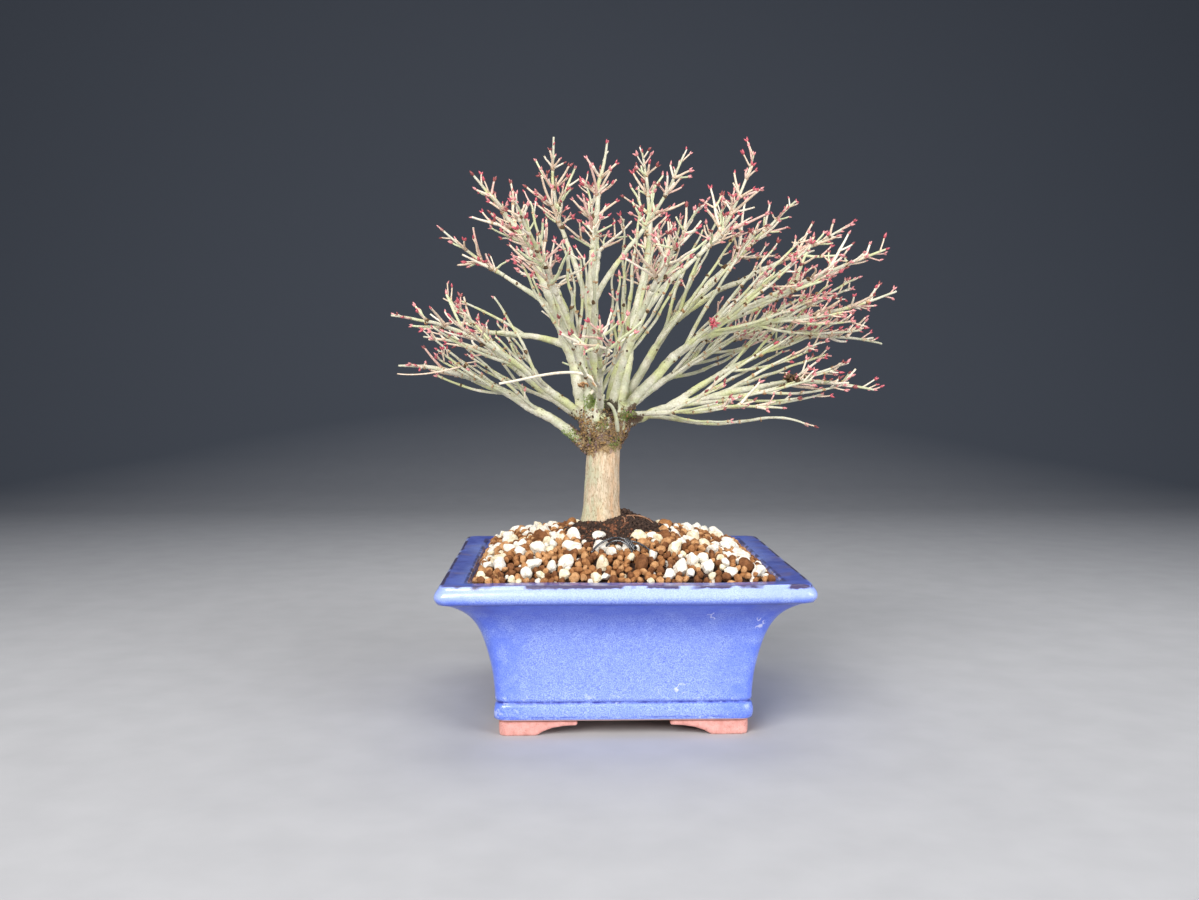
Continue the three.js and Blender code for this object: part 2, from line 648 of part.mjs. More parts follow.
// One twig in the longest of a few lengths that keeps to its space, and the twigs on it
function addShoot(mass, start, way, wanted, order, seed) {
  const radius = (TWIG_WIDE / 2) * TWIG_THINNER ** order;
  for (const shorter of SHORTENINGS) {
    const length = wanted * shorter;
    if (length < TWIG_LEAST * SHORTENINGS[1]) return;
    const curve = shootCurve(start, way, length, new Draws(seed));
    if (!fits(mass, curve, length, radius)) continue;
    const shoot = { curve, length, radius, order };
    mass.shoots.push(shoot);
    if (order < TWIG_ORDERS && length > SECOND_ORDER_FROM) bearTwigs(mass, shoot, order + 1, seed);
    return;
  }
}

function growMass(mass) {
  const reach = mass.start.distanceTo(mass.end);
  const middle = mass.start.clone().addScaledVector(mass.way, reach * STEM_HANDLE);
  const curve = new THREE.QuadraticBezierCurve3(mass.start, middle, mass.end);
  mass.stem = { curve, length: curve.getLength() };
  bearTwigs(mass, mass.stem, 1, mass.seed);
}

// A twig swells at its end into a pointed bud, and the finest twigs only taper
function twigSolid({ curve, radius, order }) {
  const stations = order < TWIG_ORDERS ? [0, BUD_AT, 1] : [0, 1];
  const radiusAt = (share) => (share === BUD_AT ? BUD_WIDE / 2 : radius);
  return limbSolid(curve, radiusAt, TWIG_SIDES, stations, true);
}

function massSolid(mass) {
  const radiusAt = (share) => mix(mass.wide, STEM_TIP_WIDE, share) / 2;
  const stem = limbSolid(mass.stem.curve, radiusAt, TWIG_SIDES, evenStations(STEM_STEPS), true);
  const whole = mass.shoots.reduce((joined, shoot) => joined.add(twigSolid(shoot)), stem);
  return mainBody(whole);
}

// Boughs are cut clear of the trunk, of the bough that bears them and of those made before them
function boughSolids() {
  const trunkCut = trunkSolid(CLEARANCE);
  const cuts = new Map();
  const solids = new Map();
  for (const { name, curve, radiusAt } of boughs.values()) {
    const stations = evenStations(BOUGH_STEPS);
    let solid = limbSolid(curve, radiusAt, BOUGH_SIDES, stations).subtract(trunkCut);
    for (const cut of cuts.values()) solid = solid.subtract(cut);
    solids.set(name, mainBody(solid));
    cuts.set(name, limbSolid(curve, (share) => radiusAt(share) + CLEARANCE, BOUGH_SIDES, stations));
  }
  return solids;
}

masses.forEach(growMass);

const plant = new THREE.Group();
plant.add(meshOf("pot", potSolid(), GLAZE));
plant.add(meshOf("foot_front_left", footSolid(-1, -1), CLAY));
plant.add(meshOf("foot_front_right", footSolid(1, -1), CLAY));
plant.add(meshOf("foot_back_right", footSolid(1, 1), CLAY));
plant.add(meshOf("foot_back_left", footSolid(-1, 1), CLAY));
plant.add(meshOf("soil", soilSolid(), GRAINS));
plant.add(meshOf("trunk", trunkSolid(), TRUNK_BARK));
for (const [name, solid] of boughSolids()) plant.add(meshOf(`bough_${name}`, solid, BOUGH_BARK));
for (const mass of masses) plant.add(meshOf(`twigs_${mass.name}`, massSolid(mass), TWIG_BARK));

const box = new THREE.Box3().setFromObject(plant);
const middle = box.getCenter(new THREE.Vector3());
plant.position.set(-middle.x, -middle.y, -box.min.z);

export default plant;
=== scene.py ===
"""The looks of a bare Japanese maple bonsai in a glazed pot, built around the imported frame.

Shapes are worked out in millimetres from the middle of the pot's underside, and turn into metres
in the row frame when a piece is made."""
import math

import bpy
import numpy as np
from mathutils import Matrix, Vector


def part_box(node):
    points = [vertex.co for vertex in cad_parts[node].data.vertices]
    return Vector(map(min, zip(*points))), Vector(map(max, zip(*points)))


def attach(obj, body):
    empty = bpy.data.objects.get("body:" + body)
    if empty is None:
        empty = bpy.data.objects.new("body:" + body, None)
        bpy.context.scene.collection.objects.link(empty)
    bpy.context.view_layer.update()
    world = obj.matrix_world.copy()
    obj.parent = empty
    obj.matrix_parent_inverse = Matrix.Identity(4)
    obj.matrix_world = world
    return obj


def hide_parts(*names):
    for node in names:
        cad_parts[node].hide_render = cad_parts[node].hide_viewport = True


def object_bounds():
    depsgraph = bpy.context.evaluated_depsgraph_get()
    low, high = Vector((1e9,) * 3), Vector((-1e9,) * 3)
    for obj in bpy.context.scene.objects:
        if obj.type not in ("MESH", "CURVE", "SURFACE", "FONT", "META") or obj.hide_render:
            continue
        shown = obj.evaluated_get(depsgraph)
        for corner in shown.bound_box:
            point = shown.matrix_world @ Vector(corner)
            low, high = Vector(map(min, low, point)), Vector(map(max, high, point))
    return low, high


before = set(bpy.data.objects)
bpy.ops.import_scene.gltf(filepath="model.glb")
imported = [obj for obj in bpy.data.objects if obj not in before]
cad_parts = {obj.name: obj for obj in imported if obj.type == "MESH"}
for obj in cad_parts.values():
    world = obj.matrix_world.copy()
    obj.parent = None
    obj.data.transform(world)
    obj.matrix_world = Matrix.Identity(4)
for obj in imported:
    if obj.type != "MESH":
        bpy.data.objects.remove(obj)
CAD_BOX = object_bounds()

TAU = 2 * math.pi
UP = np.array([0.0, 0.0, 1.0])
TINY = 1e-6
MM = 1000.0
ACROSS = np.array([1.0, 0.0, 0.0])
NEARLY_UPRIGHT = 0.05

POT_LOW, POT_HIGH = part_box("pot")
POT_MIDDLE = np.array([(POT_LOW.x + POT_HIGH.x) / 2, (POT_LOW.y + POT_HIGH.y) / 2, 0.0])
BOX_LOW = (np.array(CAD_BOX[0]) - POT_MIDDLE) * MM
BOX_HIGH = (np.array(CAD_BOX[1]) - POT_MIDDLE) * MM

# The camera, as worked out from the pot's square rim
CAMERA_PLACE = (-31.0, -692.0, 191.0)
CAMERA_PITCH = -3.6
CAMERA_HEADING = -1.65
CAMERA_LENS = 36.03
SENSOR = 36.0

# The pot
RIM_HALF = 95
RIM_TOP = 85
RIM_LOW = 75
RIM_BULGE = 2.2
RIM_LEDGE = 2
RIM_EDGE_ROUND = 1.4
MOUTH_HALF = 81
FLOOR_HALF = 61
FLOOR_TOP = 15
CAVITY_FLARE = 1.5
BAND_HALF = 68.4
BAND_TOP = 18
BAND_SWELL = 0.7
GROOVE_DEEP = 0.9
GROOVE_HALF = 1.2
FLARE_SLOW_SHARE = 0.55
FLARE_SLOW_POWER = 1.8
FLARE_QUICK_POWER = 9
POT_CORNER = 6
POT_BASE = 8

# The soil
SOIL_EDGE = 83.5
SOIL_TOP = 102
SOIL_DOME_POWER = 1.9
SOIL_PAD = 17
GRAIN_ROWS = 8
GRAIN_APART = 18.2
GRAIN_SHIFT = 3.6
GRAIN_SMALL = 4.6
GRAIN_LARGE = 6
GRAIN_SUNK = 0.12
GRAIN_SEED = 77
MOUND = (np.array([2.0, -4.0, 98.0]), np.array([23.0, 18.0, 10.5]))
FOOT_MOUND = (np.array([-12.0, -6.5, 98.0]), np.array([18.0, 17.0, 8.6]))
PATCH = ((-7.0, -25.0), (17.0, 19.0))

# The trunk
TRUNK_X = -10.4
TRUNK_Y = 0
TRUNK_LEAN_X = 2.2
TRUNK_LEAN_Y = 0.8
TRUNK_BASE = 102.3
TRUNK_TOP = 178
FLARE_RADIUS = 12.8
WAIST_RADIUS = 9.5
FLARE_FADE = 11
ROOT_LOBES = 5
ROOT_LOBE_DEEP = 1.3
ROOT_LOBE_TURN = 1
KNUCKLE_RADIUS = 14.6
KNUCKLE_START = 147
KNUCKLE_FULL = 164
KNUCKLE_DOME = 168
KNUCKLE_LOBES = 3
KNUCKLE_LOBE_DEEP = 0.9
TRUNK_END_SHARE = 0.5

# Limbs and twigs, by the same rule as the solids
CLEARANCE = 0.3
BOUGH_TAPER = 0.6
BOUGH_STEPS = 6
BOUGH_HANDLE = 0.36
STEM_HANDLE = 0.42
TWIG_WIDE = 1.5
TWIG_THINNER = 0.78
INTERNODE = 11
FIRST_NODE = 0.12
TWIG_SHARE = 0.62
LENGTH_JITTER = 0.2
TWIG_LEAST = 8
TWIG_MOST = 34
TWIG_SPREAD = 43
SPREAD_JITTER = 9
TWIST_JITTER = 24
TWIG_LIFT = 0.2
LIFT_JITTER = 0.8
SIDE_BEND = 0.12
TWIG_STEEPEST_FALL = -0.3
LAST_NODE = 0.97
SHORTENINGS = (1, 0.76, 0.55)
FIRST_MASS_SEED = 1000
MASS_SEED_STEP = 37
TWIG_SEED_FACTOR = 31
TWIG_SEED_ADDED = 7
SPACE_GAP = 1.5
LIMB_GAP = 1.2
PAST_TIP = 2
BEHIND_START = 3
SAMPLE_EVERY = 2.5


# Heading, seat, foot, out, top, arch and thick, and heading, out and top of the twigs' furthest tip
KNUCKLE_BOUGHS = {
    "left_low": ((182, 4, 147, 74, 189, 9, 6.4), (182, 116, 196)),
    "left_front": ((199, 6, 163, 63, 205, 3, 5.2), (197, 120, 223)),
    "left_back": ((153, 5, 162, 55, 193, -6, 5), (156, 117, 214)),
    "right_low": ((356, 5, 160, 97, 185, 5, 5.6), (358, 158, 182)),
    "right_front": ((334, 7, 168, 66, 172, -4, 3.4), (332, 110, 173)),
    "right_back": ((29, 5, 162, 88, 210, 5, 5), (27, 150, 228)),
    "back_low": ((92, 5, 160, 62, 192, 6, 5), (91, 112, 206)),
    "front_low": ((268, 6, 163, 52, 199, 5, 4.4), (268, 104, 213)),
    "left_rise": ((189, 10, 168, 40, 258, 9, 7.4), (188, 73, 303)),
    "centre_rise": ((206, 2, 170, 5, 262, -4, 7), (300, 7, 322)),
    "right_rise": ((9, 12, 168, 26, 252, 3, 6), (9, 24, 319)),
    "right_fan": ((351, 12, 166, 89, 231, 15, 6), (352, 161, 261)),
    "right_mid": ((18, 11, 167, 72, 248, 12, 5.6), (16, 123, 295)),
    "back_left": ((118, 10, 168, 50, 238, 13, 5.6), (120, 96, 282)),
    "back_right": ((62, 10, 168, 54, 238, 13, 5.6), (60, 102, 280)),
    "front_left": ((236, 10, 168, 44, 234, 12, 5), (238, 88, 280)),
    "front_right": ((302, 10, 168, 50, 236, 12, 5), (300, 96, 276)),
}

# Bearer and share of its length, then heading, out, top, arch and thick, and the tip as above
FORK_BOUGHS = {
    "left_level": ("left_rise", 0.42, (176, 60, 215, 12, 4.4), (175, 89, 237)),
    "left_side": ("left_rise", 0.6, (172, 56, 248, 8, 4), (171, 93, 275)),
    "top_left": ("centre_rise", 0.55, (163, 21, 269, 6, 4.4), (172, 27, 327)),
    "top_right": ("centre_rise", 0.66, (344, 21, 268, 6, 4), (345, 48, 314)),
    "top_back": ("centre_rise", 0.45, (91, 34, 260, 8, 4.2), (98, 59, 310)),
    "right_high": ("right_rise", 0.6, (356, 55, 258, 8, 4.2), (356, 87, 316)),
    "right_reach": ("right_fan", 0.62, (354, 112, 223, 4, 4), (355, 168, 238)),
    "right_wing": ("right_mid", 0.66, (7, 100, 254, 6, 4), (6, 146, 278)),
    "right_level": ("right_low", 0.36, (4, 105, 208, 6, 4), (5, 168, 209)),
}

# Finer twigs than the solids have
CROWN_HEART = (TRUNK_X + 1.5, 0, 165)
ORDERS = 3
SECOND_ORDER_FROM = 21
BEARS_FROM = {1: 9.0, 2: 11.0}
KEPT = {2: 0.8, 3: 0.5}  # share that grows of the twigs that the solids leave out, by order
KEPT_NEAR = 85  # from the knuckle, with none of them up to here
KEPT_FAR = 130
FINE_FIRST = 0.6
FINE_INTERNODE = 9.0
FINE_LEAST = 4.0
FINE_MOST = 12.0

# Side limbs along the boughs, which the solids leave out
CROWN_BLUR = 13.0
CROWN_SHARE = 0.97
CROWN_THIN = 0.12
SIDE_FIRST = 0.45
SIDE_LAST = 0.97
SIDE_EVERY = 8.0
SIDE_REACH = (0.5, 0.8)
SIDE_LIFT = (0.05, 0.35)
SIDE_SPREAD = 27
SIDE_SPREAD_JITTER = 8
SIDE_TWIST_JITTER = 30
SIDE_SHORTENINGS = (1, 0.82, 0.66, 0.5, 0.36)
SIDE_LEAST = 16
SIDE_SEED = 9100
SIDE_SEED_STEP = 19
SIDE_TWIG_FIRST = 0.34
SIDE_TWIG_LAST = 0.96
SIDE_TWIG_KEPT = 0.5
SIDE_TWIGS = {2: (12.0, TWIG_LEAST, 24), 3: (FINE_INTERNODE, FINE_LEAST, FINE_MOST)}
SIDE_THIN = 1.2
SIDE_THICKER = 0.016
SIDE_MOST_SHARE = 1.24  # of its bough's radius
# The limb that sags under the crown's right side leaves its bough at this share of it
SAG_FROM = 0.22
SAG_BENDS = ((40, -12, 168), (62, -18, 152), (76, -22, 176), (104, -28, 163))
SAG_WIDE = 2.7
ROOM_NEAR = 60
ROOM_FAR = 105
LIMB_ROOM_NEAR = 5.0
LIMB_ROOM_FAR = 3.8
ROOM_LOW_SHARE = 0.72  # of that room low in the crown, and the heights between which it grows
ROOM_HIGH_SHARE = 2.0
ROOM_GROWS = (215, 260)
TWIG_ROOM_SHARE = 0.4
TWIG_CLEAR_FROM = 0.45
# From which share of its length each kind of limb keeps others away, and at how many places
BOUGH_CROWD = (0.12, 24)
STEM_CROWD = (0, 16)
TWIG_CROWD = (0.3, 4)
SIDE_LIMB_CROWD = (0.15, 14)
SIDE_TWIG_CROWD = (TWIG_CLEAR_FROM, 3)


class Draws:
    """Repeatable numbers from 0 to 1"""

    RANGE = 2**32
    FACTOR = 1664525
    ADDED = 1013904223

    def __init__(self, seed):
        self.state = seed % Draws.RANGE
        self.next()

    def next(self):
        self.state = (self.state * Draws.FACTOR + Draws.ADDED) % Draws.RANGE
        return self.state / Draws.RANGE

    def about(self, middle, spread):
        return middle + spread * (2 * self.next() - 1)

    def between(self, low, high):
        return low + (high - low) * self.next()


def pick(draws, names):
    return names[int(draws.next() * len(names))]


def mix(a, b, share):
    return a + (b - a) * share


def smooth(low, high, value):
    share = np.clip((value - low) / (high - low), 0, 1)
    return share * share * (3 - 2 * share)


def unit(v):
    return v / max(np.linalg.norm(v), 1e-12)


def turned(v, axis, angle):
    axis = unit(axis)
    c, s = math.cos(angle), math.sin(angle)
    return v * c + np.cross(axis, v) * s + axis * np.dot(axis, v) * (1 - c)


def level_side(way, turn):
    """A direction square to a way, turned about it from the level"""
    return turned(unit(np.cross(way, UP)), way, turn)


def leaning(way, outward, draws, spread, jitter):
    """A way that leans outward by about so many degrees"""
    angle = math.radians(draws.about(spread, jitter))
    return unit(way * math.cos(angle) + outward * math.sin(angle))


# How a cell's whole numbers and a seed are mixed into one
HASH_CELL = (73856093, 19349663, 83492791)
HASH_SEED = 40503
HASH_ADDED = 977
HASH_MIXES = ((13, 1274126177), (15, 2246822519))
LOW_32_BITS = 0xFFFFFFFF
LOW_24_BITS = 0xFFFFFF
LOW_23_BITS = 0x7FFFFF


def lattice(cell, seed):
    """A random number from -1 to 1 for each cell, the same each time"""
    h = seed * HASH_SEED + HASH_ADDED
    for axis, factor in enumerate(HASH_CELL):
        h = h ^ (cell[..., axis] * factor)
    for shift, factor in HASH_MIXES:
        h = ((h ^ (h >> shift)) * factor) & LOW_32_BITS
    return ((h ^ (h >> 16)) & LOW_24_BITS) / LOW_23_BITS - 1


def noise(points, size, seed=0, octaves=1):
    """Smooth noise from -1 to 1 whose lumps are about size apart"""
    total, weight, share = 0, 0, 1.0
    for octave in range(octaves):
        at = np.asarray(points, float) * (2**octave / size) + 37.3 * octave
        cell = np.floor(at).astype(np.int64)
        f = at - cell
        f = f * f * (3 - 2 * f)
        value = 0
        for corner in range(8):
            step = np.array([corner & 1, corner >> 1 & 1, corner >> 2 & 1])
            amount = np.prod(np.where(step, f, 1 - f), axis=-1)
            value = value + amount * lattice(cell + step, seed + 101 * octave)
        total, weight, share = total + share * value, weight + share, share / 2
    return total / weight


class Bezier:
    """A curve that is read by share of its length"""

    DIVISIONS = 200
    DELTA = 1e-4

    def __init__(self, *points):
        self.points = [np.asarray(p, float) for p in points]
        self.shares = np.linspace(0, 1, Bezier.DIVISIONS + 1)
        steps = np.linalg.norm(np.diff(self.raw(self.shares), axis=0), axis=1)
        self.lengths = np.concatenate([[0], np.cumsum(steps)])
        self.length = self.lengths[-1]

    def raw(self, t):
        t = np.asarray(t, float)[..., None]
        order = len(self.points) - 1
        return sum(
            math.comb(order, i) * (1 - t) ** (order - i) * t**i * p for i, p in enumerate(self.points)
        )

    def inner(self, share):
        return np.interp(np.asarray(share) * self.length, self.lengths, self.shares)

    def at(self, share):
        return self.raw(self.inner(share))

    def way(self, share):
        t = self.inner(share)
        step = self.raw(np.minimum(t + Bezier.DELTA, 1)) - self.raw(np.maximum(t - Bezier.DELTA, 0))
        return step / np.linalg.norm(step, axis=-1, keepdims=True)


def place_of(heading, out, height):
    angle = math.radians(heading)
    return np.array([TRUNK_X + out * math.cos(angle), TRUNK_Y + out * math.sin(angle), height])


def raised(way, degrees):
    side = np.cross(way, UP)
    if np.linalg.norm(side) < TINY:
        return way
    return turned(way, side, math.radians(degrees))


def bough_curve(start, end, arch):
    chord = unit(end - start)
    handle = np.linalg.norm(end - start) * BOUGH_HANDLE
    return Bezier(start, start + handle * raised(chord, arch), end - handle * raised(chord, -arch), end)


class Bough:
    def __init__(self, name, start, out, tip, bearer=None):
        heading, reach, top, arch, self.thick = out
        self.name, self.bearer = name, bearer
        self.curve = bough_curve(start, place_of(heading, reach, top), arch)
        self.tip = place_of(*tip)

    def radius(self, share):
        return self.thick / 2 * mix(1, BOUGH_TAPER, share)


def make_boughs():
    made = {}
    for name, ((heading, seat, foot, *out), tip) in KNUCKLE_BOUGHS.items():
        made[name] = Bough(name, place_of(heading, seat, foot), (heading, *out), tip)
    for name, (bearer, at, out, tip) in FORK_BOUGHS.items():
        made[name] = Bough(name, made[bearer].curve.at(at), out, tip, bearer)
    return made


boughs = make_boughs()
stations = np.linspace(0, 1, BOUGH_STEPS + 1)
stretches = [bough.curve.at(stations) for bough in boughs.values()]
stretch_a = np.concatenate([places[:-1] for places in stretches])
stretch_b = np.concatenate([places[1:] for places in stretches])
stretch_radius = np.concatenate([bough.radius(stations[:-1]) for bough in boughs.values()])


def distances(points, a, b):
    """From each point to each straight stretch"""
    along = b - a
    offset = points[:, None, :] - a
    share = np.clip((offset * along).sum(-1) / (along * along).sum(-1), 0, 1)
    return np.linalg.norm(offset - share[..., None] * along, axis=-1)


class Shoot:
    """A stem, which has a width, or a twig"""

    def __init__(self, curve, length, order, seed, wide=None):
        self.curve, self.length, self.order = curve, length, order
        self.seed, self.wide = seed, wide
        self.nodes = []


class Mass:
    """The twigs on one bough's tip, which keep to the space nearer to their own axis than to others'"""

    def __init__(self, index, bough):
        self.index, self.name = index, bough.name
        way = bough.curve.way(1.0)
        self.start = bough.curve.at(1.0) + way * CLEARANCE
        self.end = bough.tip
        middle = self.start + way * (np.linalg.norm(self.end - self.start) * STEM_HANDLE)
        curve = Bezier(self.start, middle, self.end)
        seed = FIRST_MASS_SEED + MASS_SEED_STEP * index
        self.stem = Shoot(curve, curve.length, 0, seed, 2 * bough.radius(1.0))
        self.shoots = []


masses = [Mass(index, bough) for index, bough in enumerate(boughs.values())]
mass_starts = np.array([mass.start for mass in masses])
mass_ends = np.array([mass.end for mass in masses])


def in_space(mass, points, radius):
    axis = mass.end - mass.start
    length = np.linalg.norm(axis)
    along = (points - mass.start) @ axis / length
    to_axes = distances(points, mass_starts, mass_ends)
    own = to_axes[:, mass.index].copy()
    to_axes[:, mass.index] = np.inf
    inside = (along >= -BEHIND_START) & (along <= length + PAST_TIP)
    inside &= to_axes.min(1) >= own + 2 * (radius + SPACE_GAP)
    clear = distances(points, stretch_a, stretch_b) > stretch_radius + radius + LIMB_GAP
    return bool((inside & clear.all(1)).all())


def shoot_curve(start, way, length, draws):
    lift = TWIG_LIFT * draws.about(1, LIFT_JITTER)
    bend = np.array([draws.about(0, SIDE_BEND), draws.about(0, SIDE_BEND), lift])
    middle = start + way * (length / 2)
    return Bezier(start, middle, middle + unit(way + bend) * (length / 2))


def outer(place):
    """From 0 near the knuckle to 1 in the outer crown, where the fine twigs are"""
    return smooth(KEPT_NEAR, KEPT_FAR, np.linalg.norm(place - CROWN_HEART))


def opposite_twigs(shoot, places, draws):
    """Where twigs leave a shoot, in pairs that turn from node to node, and how long each may be"""
    for node, along in enumerate(places):
        share = along / shoot.length
        start, onward = shoot.curve.at(share), shoot.curve.way(share)
        shoot.nodes.append(share)
        outward = level_side(onward, math.radians(90 * (node % 2) + draws.about(0, TWIST_JITTER)))
        for side in (1, -1):
            way = leaning(onward, outward * side, draws, TWIG_SPREAD, SPREAD_JITTER)
            free = shoot.length * (1 - share) * TWIG_SHARE * draws.about(1, LENGTH_JITTER)
            yield node, side, start, way, free


def bear_twigs(mass, shoot, order):
    fine = order > 2
    apart = FINE_INTERNODE if fine else INTERNODE
    least, most = (FINE_LEAST, FINE_MOST) if fine else (TWIG_LEAST, TWIG_MOST)
    first = FINE_FIRST * apart if fine else FIRST_NODE * shoot.length
    places = [first + node * apart for node in range(max(1, int((shoot.length - first) / apart)))]
    places = [along for along in places if along / shoot.length <= LAST_NODE]
    for node, side, start, way, free in opposite_twigs(shoot, places, Draws(shoot.seed)):
        seed = (shoot.seed * TWIG_SEED_FACTOR + node * 2 + side + TWIG_SEED_ADDED) % Draws.RANGE
        added = order > 1 and (node > 0 or shoot.length < SECOND_ORDER_FROM)
        left_out = added and Draws(seed + 1).next() > KEPT[order] * outer(start)
        if way[2] >= TWIG_STEEPEST_FALL and not left_out:
            add_shoot(mass, start, way, min(max(free, least), most), order, seed, least)


def add_shoot(mass, start, way, wanted, order, seed, least):
    """The longest of some shortenings that keeps to the mass's space, with its own twigs"""
    radius = TWIG_WIDE / 2 * TWIG_THINNER**order
    for shorter in SHORTENINGS:
        length = wanted * shorter
        if length < least * SHORTENINGS[1]:
            return
        curve = shoot_curve(start, way, length, Draws(seed))
        samples = np.arange(1, math.ceil(length / SAMPLE_EVERY) + 1)
        if in_space(mass, curve.at(samples / len(samples)), radius):
            shoot = Shoot(curve, length, order, seed)
            mass.shoots.append(shoot)
            if order < ORDERS and length > BEARS_FROM[order]:
                bear_twigs(mass, shoot, order + 1)
            return


for mass in masses:
    bear_twigs(mass, mass.stem, 1)

tip_ways = mass_ends - CROWN_HEART
tip_reach = np.linalg.norm(tip_ways, axis=1)
tip_ways = tip_ways / tip_reach[:, None]


def in_crown(points):
    """Whether points lie within the reach that the masses' tips span, seen from the knuckle. The
    reach is averaged over the tips that are near in direction."""
    ways = points - CROWN_HEART
    away = np.linalg.norm(ways, axis=1)
    cosine = np.clip(ways @ tip_ways.T / away[:, None], -1, 1)
    weight = np.exp(-((np.degrees(np.arccos(cosine)) / CROWN_BLUR) ** 2))
    reach = (weight * tip_reach).sum(1) / (weight.sum(1) + CROWN_THIN)
    return bool((away < CROWN_SHARE * reach).all())


class Crowd:
    """Places along what has grown so far, each with the room that it keeps, which is less the
    further it lies from the knuckle"""

    def __init__(self):
        self.places, self.rooms = np.zeros((0, 3)), np.zeros(0)

    def add(self, curve, first, count, share=1.0, extra=0.0):
        places = curve.at(np.linspace(first, 1, count))
        away = np.linalg.norm(places - CROWN_HEART, axis=1)
        rooms = mix(LIMB_ROOM_NEAR, LIMB_ROOM_FAR, smooth(ROOM_NEAR, ROOM_FAR, away)) * share + extra
        rooms *= mix(ROOM_LOW_SHARE, ROOM_HIGH_SHARE, smooth(*ROOM_GROWS, places[:, 2]))
        self.places = np.concatenate([self.places, places])
        self.rooms = np.concatenate([self.rooms, rooms])

    def clear(self, points):
        away = np.linalg.norm(self.places - points[:, None], axis=-1)
        return bool((away > self.rooms).all())


crowd = Crowd()
for bough in boughs.values():
    crowd.add(bough.curve, *BOUGH_CROWD, extra=bough.thick / 4)
for mass in masses:
    crowd.add(mass.stem.curve, *STEM_CROWD)
    for shoot in mass.shoots:
        crowd.add(shoot.curve, *TWIG_CROWD, TWIG_ROOM_SHARE)


class SideLimb:
    """A thin limb that fills a gap between the boughs, with its own twigs"""

    def __init__(self, curve, wide, seed):
        crowd.add(curve, *SIDE_LIMB_CROWD)
        self.stem = Shoot(curve, curve.length, 0, seed, wide)
        self.shoots = []

    def bear(self, shoot, order):
        """Opposite twigs along the outer part of a shoot, where there is room"""
        every, least, most = SIDE_TWIGS[order]
        draws = Draws(shoot.seed)
        places = np.arange(SIDE_TWIG_FIRST * shoot.length, SIDE_TWIG_LAST * shoot.length, every)
        for _, _, start, way, free in opposite_twigs(shoot, places, draws):
            seed = int(draws.next() * Draws.RANGE)
            if way[2] > TWIG_STEEPEST_FALL and draws.next() < SIDE_TWIG_KEPT * outer(start):
                self.add_twig(start, way, min(max(free, least), most), order, seed)

    def add_twig(self, start, way, wanted, order, seed):
        for shorter in SHORTENINGS:
            length = wanted * shorter
            curve = shoot_curve(start, way, length, Draws(seed))
            places = curve.at(np.linspace(TWIG_CLEAR_FROM, 1, 4))
            if in_crown(places) and (order > 2 or crowd.clear(places)):
                twig = Shoot(curve, length, order, seed)
                self.shoots.append(twig)
                crowd.add(curve, *SIDE_TWIG_CROWD, TWIG_ROOM_SHARE)
                if order < ORDERS and length > BEARS_FROM[order]:
                    self.bear(twig, order + 1)
                return


def side_limb(bough, mass, share, outward, draws):
    """The longest side limb that has room at a place on a bough, if any has"""
    start, onward = bough.curve.at(share), bough.curve.way(share)
    way = leaning(onward, outward, draws, SIDE_SPREAD, SIDE_SPREAD_JITTER)
    wanted = ((1 - share) * bough.curve.length + mass.stem.length) * draws.between(*SIDE_REACH)
    onto = unit(onward + UP * draws.between(*SIDE_LIFT) + way * 0.5)
    seed = int(draws.next() * Draws.RANGE)
    for shorter in SIDE_SHORTENINGS:
        reach = wanted * shorter
        if reach < SIDE_LEAST:
            break
        bend = start + way * reach * STEM_HANDLE
        curve = Bezier(start, bend, bend + onto * reach * (1 - STEM_HANDLE))
        places = curve.at(np.linspace(0.3, 1, 9))
        if in_crown(places) and crowd.clear(places):
            wide = min(SIDE_MOST_SHARE * bough.radius(share), SIDE_THIN + SIDE_THICKER * reach)
            return SideLimb(curve, wide, seed)
    return None


def make_side_limbs():
    sagging = Bezier(boughs["right_low"].curve.at(SAG_FROM), *SAG_BENDS)
    made = [SideLimb(sagging, SAG_WIDE, SIDE_SEED)]
    for number, (bough, mass) in enumerate(zip(boughs.values(), masses)):
        draws = Draws(SIDE_SEED + SIDE_SEED_STEP * number)
        shares = np.arange(SIDE_FIRST, SIDE_LAST, SIDE_EVERY / bough.curve.length)
        for node, share in enumerate(shares):
            twist = math.radians(90 * (node % 2) + draws.about(0, SIDE_TWIST_JITTER))
            outward = level_side(bough.curve.way(share), twist)
            for side in (1, -1):
                limb = side_limb(bough, mass, share, outward * side, draws)
                if limb:
                    made.append(limb)
    for limb in made:
        limb.bear(limb.stem, 2)
    return made


side_limbs = make_side_limbs()
all_shoots = [shoot for growth in masses + side_limbs for shoot in [growth.stem] + growth.shoots]


class Shape:
    """Points in millimetres and faces, which become one piece"""

    def __init__(self):
        self.points, self.faces, self.count = [], [], 0

    def add(self, points, *faces):
        self.points.append(np.asarray(points, float))
        for group in faces:
            if len(group):
                self.faces.append(np.asarray(group, int) + self.count)
        self.count += len(points)

    def mesh(self, name):
        mesh = bpy.data.meshes.new(name)
        places = np.concatenate(self.points) / MM + POT_MIDDLE
        faces = [face for group in self.faces for face in group.tolist()]
        mesh.from_pydata(places.astype(np.float32), [], faces)
        mesh.shade_smooth()
        mesh.update()
        return mesh


def show(name, mesh, look):
    """A piece of the plant from a mesh, with its material"""
    if isinstance(mesh, Shape):
        mesh = mesh.mesh(name)
    mesh.name = name
    piece = bpy.data.objects.new(name, mesh)
    bpy.context.scene.collection.objects.link(piece)
    mesh.materials.clear()
    mesh.materials.append(look)
    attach(piece, "root")
    return piece


